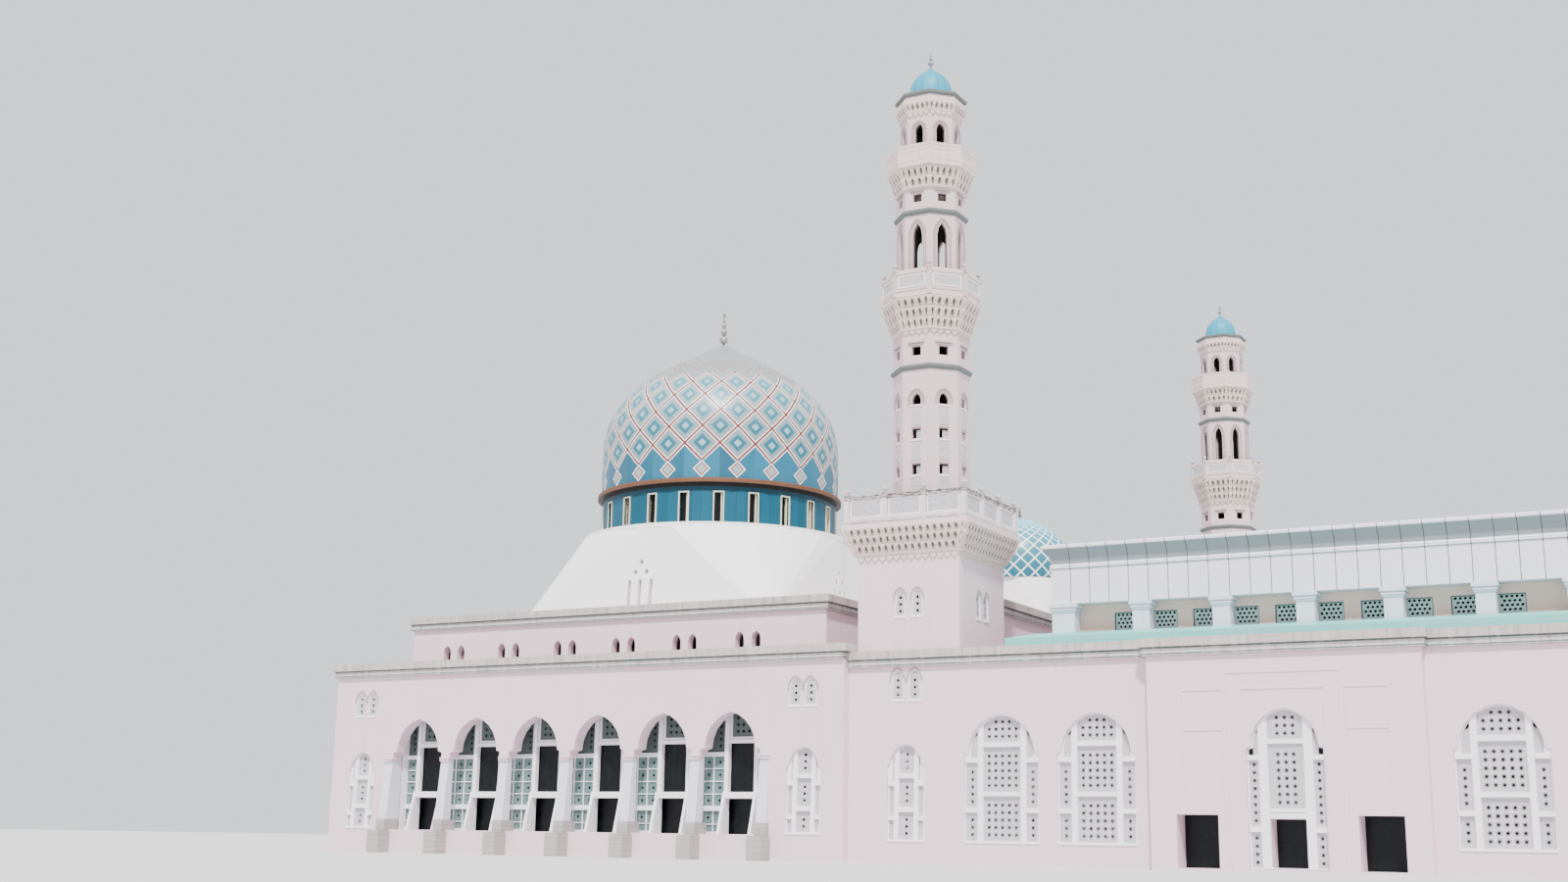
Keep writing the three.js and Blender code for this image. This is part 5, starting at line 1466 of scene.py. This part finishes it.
def build_entrance():
    """The main portal's screen, the doors and the raised lines on the bay."""
    centre_of_bay = [at(BAY_CENTRE, 0)]
    back = BAY_FRONT + 0.22
    half, arch_half, foot, spring, apex = 2.06, 1.81, DOOR_FOOT, 4.99, 7.01
    arch = (arch_half, spring, apex)
    m0, m1 = 0.95, 1.44
    outer = arch_points(0, foot + 0.01, spring, apex - 0.01, arch_half, 8, half)
    parts = [ring_prism([(x, back, z) for x, z in outer], 0.07, (0, 0.22, 0))]
    for side in (-1, 1):
        parts.append(mullion(side, m0, m1, foot + 0.01, arch, back - 0.02, 0.24))
        for z0, z1 in ((0.5, 0.8), (4.26, 4.54)):
            x0, x1 = sorted((side * (m1 - 0.02), side * (half - 0.01)))
            parts.append(bar(x0, x1, back - 0.07, back + 0.2, z0, z1))
    for z0, z1, y in ((1.2, 1.5, back - 0.05), (1.53, 1.76, back - 0.03),
            (5.13, 5.38, back - 0.06)):
        parts.append(bar(-m0 - 0.02, m0 + 0.02, y, back + 0.2, z0, z1))
    pitch = sizes().lattice_pitch
    panels = [(rectangle(-m0, m0, 1.76, 5.13), (0, 2.06)),
        (under_arch(-m0, m0, 5.38, arch, 0.06), (0, 5.68))]
    for side in (-1, 1):
        x0, x1 = sorted((side * m1, side * (half - 0.07)))
        middle = (x0 + x1) / 2
        for z0, z1 in ((foot + 0.05, 0.5), (0.8, 4.26)):
            panels.append((rectangle(x0, x1, z0, z1), (middle, z0 + 0.3)))
        a0, a1 = sorted((side * m1, side * (arch_half - 0.08)))
        panels.append((under_arch(a0, a1, 4.54, arch, 0.06), (middle, 4.84)))
    for polygon, centre in panels:
        parts.append(lattice(polygon, back + 0.08, 0.06, centre, pitch))
    set_piece(copies(joined(parts), centre_of_bay), "entrance_portal", "screen",
        ["entrance_screen"])

    glass = [bar(-2.0, 2.0, 0.40, 0.43, 1.22, 6.9, 0.005),
        bar(-2.0, -0.97, 0.40, 0.43, DOOR_FOOT, 1.22, 0.005),
        bar(0.97, 2.0, 0.40, 0.43, DOOR_FOOT, 1.22, 0.005)]
    doors = []
    for x, width, top in ((0, 1.9, 1.2), (-4.82, 2.3, 1.4), (4.82, 2.3, 1.4)):
        glass.append(bar(x - width / 2 - 0.1, x + width / 2 + 0.1, 1.46, 1.5, -1.42, top + 0.1,
            0.005))
        face = 0.45 if width > 2 else 0.36
        for side in (-1, 1):
            x0, x1 = sorted((x + side * width / 2, x + side * (width / 2 + 0.12)))
            doors.append(bar(x0, x1, face, 1.56, DOOR_FOOT, top + 0.1, 0.01))
        doors.append(bar(x - width / 2 - 0.12, x + width / 2 + 0.12, face, 1.56, top, top + 0.12,
            0.01))
    set_piece(copies(joined(glass), centre_of_bay), "entrance_panes", "glass")
    set_piece(copies(joined(doors), centre_of_bay), "door_reveals", "wall")

    bars = []
    for x0, x1, top in ((-3.0, 3.0, 8.99), (-2.17, 2.17, 8.1)):
        bars.append(bar(x0 - 0.05, x1 + 0.05, BAY_FRONT - 0.05, BAY_FRONT + 0.02, top - 0.08,
            top + 0.06, 0.02))
        for x in (x0, x1):
            bars.append(bar(x - 0.04, x + 0.04, BAY_FRONT - 0.035, BAY_FRONT + 0.02, -1.4, top,
                0.015))
    for side in (-1, 1):
        x0, x1 = sorted((side * 3.28, side * 5.45))
        for z in (8.08, 5.92):
            bars.append(bar(x0 - 0.04, x1 + 0.04, BAY_FRONT - 0.045, BAY_FRONT + 0.02, z - 0.07,
                z + 0.05, 0.02))
        for x in (x0, x1):
            bars.append(bar(x - 0.03, x + 0.03, BAY_FRONT - 0.03, BAY_FRONT + 0.02, 1.45, 8.05,
                0.012))
    set_piece(copies(joined(bars), centre_of_bay), "bay_mouldings", "wall")


# ---- arcade ----

def arcade_bay():
    """Frames, panes and panels behind one arch, its middle at x = 0."""
    white, panes, screens = [], [], []
    for side in (-1, 1):
        fin = [(ARCADE_BACK, 0.0), (ARCADE_BACK, 2.6), (1.3, 2.6), (1.28, 2.5), (0.62, 0.0)]
        x = -1.24 if side < 0 else 1.04
        white.append(prism([(x, y, z + ARCADE_FOOT) for y, z in fin], (0.2, 0, 0)))
        x0, x1 = sorted((side * 0.94, side * 1.24))
        white.append(bar(x0, x1, 1.43, ARCADE_BACK, 2.55, ARCADE_TOP))
    white.append(bar(-1.26, 1.26, 1.28, ARCADE_BACK, 2.2, 2.6))
    white.append(bar(-0.96, 0.96, 1.5, ARCADE_BACK, 5.65, 5.9))
    white.append(ring_prism([(-0.92, 1.6, 5.93), (0.92, 1.6, 5.93), (0.92, 1.6, 7.7),
        (-0.92, 1.6, 7.7)], 0.12, (0, 0.16, 0)))
    screens.append(lattice(rectangle(-0.81, 0.81, 6.04, 7.6), 1.68, 0.05, (0, 6.4),
        sizes().lattice_pitch))
    for x in (-0.47, 0.0, 0.47):
        panes.append(bar(x - 0.02, x + 0.02, 1.83, 1.88, 2.6, 5.65, 0.005))
    panes.append(bar(-0.94, 0.94, 1.83, 1.88, 4.86, 4.91, 0.005))
    return white, panes, screens


def arcade_field(width, posts):
    """The gridded screen between two portals, its middle at x = 0; posts are its upright bars."""
    half = width / 2
    white = [bar(-half, half, 1.55, ARCADE_BACK, 1.43, 1.74),
        bar(-half, half, 1.57, ARCADE_BACK, 4.83, 5.11),
        bar(-half, half, 1.57, ARCADE_BACK, ARCADE_FOOT, 0.14)]
    for z in (0.61, 2.48, 3.28, 4.08):
        white.append(bar(-half, half, 1.64, 1.76, z - 0.03, z + 0.03, 0.008))
    for x in posts:
        white.append(bar(x - 0.03, x + 0.03, 1.64, 1.76, 0.14, 4.83, 0.008))
    edges = [-half] + list(posts) + [half]
    screens = []
    for x0, x1 in zip(edges, edges[1:]):
        for z0, z1, z in ((0.14, 1.43, 1.02), (1.74, 4.83, 2.88), (5.11, ARCADE_TOP, 5.51)):
            screens.append(lattice(rectangle(x0, x1, z0, z1), 1.71, 0.05, ((x0 + x1) / 2, z),
                sizes().lattice_pitch * 0.95))
    return white, screens


def arcade_capitals():
    """Two thin bands round a pier."""
    return joined([bar(-0.42, 0.42, -0.13, 0.45, 4.74, 4.88, 0.02),
        bar(-0.39, 0.39, -0.14, 0.44, 4.6, 4.69, 0.015)])


def build_arcade():
    """Screens, doors and capitals of the hall's three arcades, and its end windows."""
    sides = {
        "front": (HALL_FRONT, HALL_WIDTH, FIRST_ARCH, 6),
        "left": (HALL_LEFT, HALL_SIDE, (HALL_SIDE - 4 * ARCH_PITCH) / 2, 5),
        "back": (HALL_BACK, HALL_WIDTH, (HALL_WIDTH - 5 * ARCH_PITCH) / 2, 6),
    }
    for name, (place, length, first, count) in sides.items():
        start, end = 0.96, length - 0.96
        centres = [first + i * ARCH_PITCH for i in range(count)]
        white, panes, screens = arcade_bay()
        bays = [place @ at(x, 0) for x in centres]
        frames = [copies(joined(white), bays)]
        glazing = [copies(joined(panes), bays)]
        lattices = [copies(joined(screens), bays)]
        white, screens = arcade_field(ARCH_PITCH - 2.48, (-0.39, 0.39))
        fields = [place @ at(x + ARCH_PITCH / 2, 0) for x in centres[:-1]]
        frames.append(copies(joined(white), fields))
        lattices.append(copies(joined(screens), fields))
        white, screens = arcade_field(0.98, ())
        ends = [place @ at(x, 0) for x in (centres[0] - 1.73, centres[-1] + 1.73)]
        frames.append(copies(joined(white), ends))
        lattices.append(copies(joined(screens), ends))
        left, right = centres[0], centres[-1]
        solid = [bar(x0, x1, y0, y1, ARCADE_FOOT, ARCADE_TOP) for x0, x1, y0, y1 in (
            (left - 2.36, left - 2.2, 1.1, ARCADE_BACK),
            (right + 2.2, right + 2.36, 1.1, ARCADE_BACK),
            (start, left - 2.3, 1.66, 1.78), (right + 2.3, end, 1.66, 1.78))]
        solid.append(bar(start, end, 1.6, ARCADE_BACK, 7.74, 9.59))
        frames.append(copies(joined(solid), [place]))
        sheet = [bar(start, end, 1.84, 1.87, 2.2, 9.59, 0.005)]
        edges = [start] + [x + s * 1.05 for x in centres for s in (-1, 1)] + [end]
        sheet += [bar(x0, x1, 1.84, 1.87, ARCADE_FOOT, 2.2, 0.005)
            for x0, x1 in zip(edges[::2], edges[1::2])]
        sheet += [bar(x - 1.2, x + 1.2, 2.14, 2.18, ARCADE_FOOT, 2.4, 0.005) for x in centres]
        glazing.append(copies(joined(sheet), [place]))
        set_piece(joined(frames), f"hall_{name}_frames", "screen",
            [f"hall_{name}_screen"])
        set_piece(joined(lattices), f"hall_{name}_lattices", "arcade_lattice")
        set_piece(joined(glazing), f"hall_{name}_panes", "glass")
        piers = [place @ at(first + (i - 0.5) * ARCH_PITCH, 0) for i in range(count + 1)]
        set_piece(copies(arcade_capitals(), piers), f"hall_{name}_capitals",
            "tower")
        ends = [place @ at(x, 0) for x in (2.75, length - 2.75)]
        set_piece(copies(narrow_window(0.05, 4.15, 5.3), ends), f"hall_{name}_narrow_windows",
            "screen")
        smalls = [place @ at(x, 0) for u in (2.3, 3.37) for x in (u, length - u)]
        set_piece(copies(small_screen(0, 0.84, 7.8, 9.5, 0.0), smalls),
            f"hall_{name}_small_windows", "screen")
        set_piece(copies(hood(0, 0.84, 9.5, 0.0), smalls), f"hall_{name}_small_hoods",
            "hood")


# ---- upper storey ----

def upper_rectangle(reach):
    """Plan of the upper storey's outer face, widened by a reach."""
    x0, x1 = UPPER["left"] - reach, UPPER["right"] + reach
    y0, y1 = UPPER["front"] - reach, UPPER["back"] + reach
    return rectangle(x0, x1, y0, y1)


# Outline of the eaves as (distance out of the wall, height).
EAVES_LINE = [(0.0, 14.05), (0.0, 16.2), (0.07, 16.22), (0.09, 16.27), (0.07, 16.31), (0.05, 16.33),
    (0.09, 16.36), (0.07, 16.42), (0.03, 16.46), (0.045, 16.7), (0.1, 16.94), (0.19, 17.14),
    (0.31, 17.3), (0.41, 17.38), (0.46, 17.4), (0.5, 17.46), (0.5, 17.58), (0.44, 17.66)]


def build_eaves():
    """Fascia, ledge, curved cove and gutter of the upper storey, with the panel joints."""
    section = EAVES_LINE + [(-0.3, 17.67), (-1.55, 17.5), (-1.55, 14.05)]
    set_piece(smooth(moulding(upper_rectangle, section), 30), "upper_cornice",
        "eaves", ["upper_eaves"])
    width, depth = UPPER["right"] - UPPER["left"], UPPER["back"] - UPPER["front"]
    proud = 0.012
    outer = [(-r - proud, z) for r, z in EAVES_LINE]
    seam = prism([(-0.02, y, z) for y, z in outer + [(0.1, 17.66), (0.1, 14.06)]], (0.04, 0, 0))
    places = []
    for length, turn, x, y in ((width, 0, UPPER["left"], UPPER["front"]),
            (depth, math.pi / 2, UPPER["right"], UPPER["front"]),
            (width, math.pi, UPPER["right"], UPPER["back"]),
            (depth, -math.pi / 2, UPPER["left"], UPPER["back"])):
        count = round(length / sizes().joint_pitch)
        for i in range(1, count):
            places.append(at(x, y) @ turned(turn) @ at(i * length / count, 0))
    set_piece(copies(seam, places), "upper_panel_joints", "eaves_joint")


def pier_capital(x0, x1, y0, y1):
    """Stepped bands round a pier's head."""
    return [bar(x0 - r, x1 + r, y0 - r, y1, z0, z1, 0.02) for r, z0, z1 in CAPITAL_BANDS]


def build_upper_storey():
    """Pier capitals and pierced window screens of the upper storey."""
    left, right, front, back = (UPPER[k] for k in ("left", "right", "front", "back"))
    width = right - left
    pitch = (width - UPPER_CORNER) / 6
    first = (width - pitch * 5) / 2
    inner = back - front - 2 * UPPER_WALL
    side_pitch = inner / 12
    long_places = [at(left, front), at(right, back) @ turned(math.pi)]
    side_places = [at(left, front + UPPER_WALL + inner) @ turned(-math.pi / 2),
        at(right, front + UPPER_WALL) @ turned(math.pi / 2)]
    piers = [place @ at(first + (i - 0.5) * pitch, 0) for place in long_places for i in range(1, 6)]
    piers += [place @ at(i * side_pitch, 0) for place in side_places for i in range(1, 12)]
    capitals = [copies(joined(pier_capital(-0.525, 0.525, 0.1, 1.0)), piers)]
    corner = [bar(-r, UPPER_CORNER + r, -r, 1.5 + r, z0, z1, 0.02) for r, z0, z1 in CAPITAL_BANDS]
    corners = [place @ at(x, 0) for place in long_places for x in (0, width - UPPER_CORNER)]
    capitals.append(copies(joined(corner), corners))
    set_piece(joined(capitals), "upper_capitals", "fascia")

    middles = [(place, first + i * pitch, s) for place in long_places for i in range(6)
        for s in (-1, 1) if (i, s) not in ((0, -1), (5, 1))]
    middles += [(place, (i + 0.5) * side_pitch, s) for place in side_places for i in range(12)
        for s in (-1, 1)]
    places = [place @ at(x + s * 1.22, 0) for place, x, s in middles]
    panel = dotted_sheet(-0.72, 0.72, 12.03, 13.47, 1.14, 0.05, 0.262, 6, 0.145)
    set_piece(copies(panel, places), "upper_window_screens", "upper_screen")
    outline = [(-0.745, 1.08, 12.005), (0.745, 1.08, 12.005), (0.745, 1.08, 13.495),
        (-0.745, 1.08, 13.495)]
    edge = joined([ring_prism(outline, 0.05, (0, 0.12, 0)),
        bar(-0.7, 0.7, 1.1, 1.16, 12.36, 12.42, 0.01)])
    set_piece(copies(edge, places), "upper_window_frames", "upper_frame")


# ---- stage ----

# The photograph's viewpoint: lens in mm, place in the model's metres, turns in degrees.
VIEW_LENS, VIEW_PLACE, VIEW_ANGLES = 40.86, (4.504, -13.265, 0.121), (29.678, 12.668, 0.947)
SUN_STRENGTH, SKY_STRENGTH = 6.9, 1.45


def build_stage():
    """Floor, lights and camera."""
    bpy.ops.object.select_all(action="DESELECT")
    bpy.ops.mesh.primitive_plane_add(size=400, location=(0, 0, 0))
    floor = bpy.context.object
    floor.name = "floor"
    pale, tree, shader = material_base("stage_floor", 0.9)
    tone = noise(tree, 0.5)
    tree.links.new(mixed(tree, tone, (0.62, 0.62, 0.63), (0.65, 0.65, 0.66)),
        shader.inputs["Base Color"])
    floor.data.materials.append(pale)

    world = bpy.data.worlds.new("studio")
    bpy.context.scene.world = world
    world.use_nodes = True
    world.node_tree.nodes["Background"].inputs["Color"].default_value = (0.86, 0.885, 0.91, 1)
    world.node_tree.nodes["Background"].inputs["Strength"].default_value = SKY_STRENGTH

    sun = bpy.data.lights.new("key", "SUN")
    sun.energy = SUN_STRENGTH
    sun.angle = math.radians(4)
    sun.color = (1.0, 0.965, 0.94)
    key = bpy.data.objects.new("key", sun)
    key.rotation_euler = Vector((-0.30, 0.62, -1.0)).to_track_quat("-Z", "Y").to_euler()
    bpy.context.scene.collection.objects.link(key)

    lens = bpy.data.cameras.new("view")
    lens.lens = VIEW_LENS
    lens.sensor_width = 36
    lens.clip_end = 600
    camera = bpy.data.objects.new("view", lens)
    yaw, pitch, roll = (math.radians(angle) for angle in VIEW_ANGLES)
    ahead = Vector((-math.sin(yaw) * math.cos(pitch), math.cos(yaw) * math.cos(pitch),
        math.sin(pitch)))
    right = Vector((math.cos(yaw), math.sin(yaw), 0))
    up = right.cross(ahead)
    turned_right = math.cos(roll) * right + math.sin(roll) * up
    turned_up = -math.sin(roll) * right + math.cos(roll) * up
    turn = Matrix((turned_right, turned_up, -ahead)).transposed().to_4x4()
    camera.matrix_world = at(*VIEW_PLACE) @ turn
    bpy.context.scene.collection.objects.link(camera)
    bpy.context.scene.camera = camera


# ---- add-on ----

class MOSQUE_OT_carried(bpy.types.Operator):
    """Paint the walls, roofs and towers that come with the frame"""
    bl_idname = "mosque.carried"
    bl_label = "Walls and roofs"

    def execute(self, context):
        dress_carried_nodes()
        return {"FINISHED"}


class MOSQUE_OT_main_dome(bpy.types.Operator):
    """Build the tiled main dome, its band, drum frames and finial"""
    bl_idname = "mosque.main_dome"
    bl_label = "Main dome"

    def execute(self, context):
        build_main_dome()
        build_dome_base()
        return {"FINISHED"}


class MOSQUE_OT_small_dome(bpy.types.Operator):
    """Build the small tiled dome"""
    bl_idname = "mosque.small_dome"
    bl_label = "Small dome"

    def execute(self, context):
        build_small_dome()
        return {"FINISHED"}


class MOSQUE_OT_minaret_bases(bpy.types.Operator):
    """Build the niche corbels, terrace balustrades and windows of the minaret bases"""
    bl_idname = "mosque.minaret_bases"
    bl_label = "Minaret bases"

    def execute(self, context):
        build_minaret_bases()
        return {"FINISHED"}


class MOSQUE_OT_minaret_shafts(bpy.types.Operator):
    """Build the hoods, pierced panels and rings of the minaret shafts"""
    bl_idname = "mosque.minaret_shafts"
    bl_label = "Minaret shafts"

    def execute(self, context):
        build_minaret_shafts()
        return {"FINISHED"}


class MOSQUE_OT_minaret_balconies(bpy.types.Operator):
    """Build the balconies, lantern corbels and caps of the minarets"""
    bl_idname = "mosque.minaret_balconies"
    bl_label = "Minaret balconies and caps"

    def execute(self, context):
        build_minaret_balconies()
        return {"FINISHED"}


class MOSQUE_OT_wing_windows(bpy.types.Operator):
    """Build the framed and pierced windows of the wing"""
    bl_idname = "mosque.wing_windows"
    bl_label = "Wing windows"

    def execute(self, context):
        build_wing_windows()
        return {"FINISHED"}


class MOSQUE_OT_entrance(bpy.types.Operator):
    """Build the main portal, the doors and the lines round them"""
    bl_idname = "mosque.entrance"
    bl_label = "Entrance"

    def execute(self, context):
        build_entrance()
        return {"FINISHED"}


class MOSQUE_OT_arcade(bpy.types.Operator):
    """Build the hall's arcade screens, capitals and end windows"""
    bl_idname = "mosque.arcade"
    bl_label = "Arcade"

    def execute(self, context):
        build_arcade()
        return {"FINISHED"}


class MOSQUE_OT_eaves(bpy.types.Operator):
    """Build the upper storey's fascia, cove, gutter and panel joints"""
    bl_idname = "mosque.eaves"
    bl_label = "Eaves"

    def execute(self, context):
        build_eaves()
        return {"FINISHED"}


class MOSQUE_OT_upper_storey(bpy.types.Operator):
    """Build the upper storey's capitals and window screens"""
    bl_idname = "mosque.upper_storey"
    bl_label = "Upper storey"

    def execute(self, context):
        build_upper_storey()
        return {"FINISHED"}


class MOSQUE_OT_stage(bpy.types.Operator):
    """Set up the floor, the lights and the camera"""
    bl_idname = "mosque.stage"
    bl_label = "Floor, lights and camera"

    def execute(self, context):
        build_stage()
        return {"FINISHED"}


BUILDERS = (MOSQUE_OT_carried, MOSQUE_OT_main_dome, MOSQUE_OT_small_dome, MOSQUE_OT_minaret_bases,
    MOSQUE_OT_minaret_shafts, MOSQUE_OT_minaret_balconies, MOSQUE_OT_wing_windows,
    MOSQUE_OT_entrance, MOSQUE_OT_arcade, MOSQUE_OT_eaves, MOSQUE_OT_upper_storey, MOSQUE_OT_stage)


class MOSQUE_PT_parts(bpy.types.Panel):
    """Lists the parts of the mosque"""
    bl_label = "Mosque"
    bl_idname = "MOSQUE_PT_parts"
    bl_space_type = "VIEW_3D"
    bl_region_type = "UI"
    bl_category = "Mosque"

    def draw(self, context):
        for builder in BUILDERS:
            self.layout.operator(builder.bl_idname)


CLASSES = (MosquePaints, MosqueSizes, *BUILDERS, MOSQUE_PT_parts)


def register():
    """Registers the classes and their settings."""
    for item in CLASSES:
        bpy.utils.register_class(item)
    bpy.types.Scene.mosque_paints = PointerProperty(type=MosquePaints)
    bpy.types.Scene.mosque_sizes = PointerProperty(type=MosqueSizes)


def unregister():
    """Takes them out again."""
    del bpy.types.Scene.mosque_sizes
    del bpy.types.Scene.mosque_paints
    for item in reversed(CLASSES):
        bpy.utils.unregister_class(item)


def run(operator):
    """Runs one operator and stops the script if it can't finish."""
    if operator() != {"FINISHED"}:
        raise RuntimeError("a part could not be built")


def main():
    """Builds every part in order."""
    register()
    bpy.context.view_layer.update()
    for builder in BUILDERS:
        group, name = builder.bl_idname.split(".")
        run(getattr(getattr(bpy.ops, group), name))


if __name__ == "__main__":
    main()
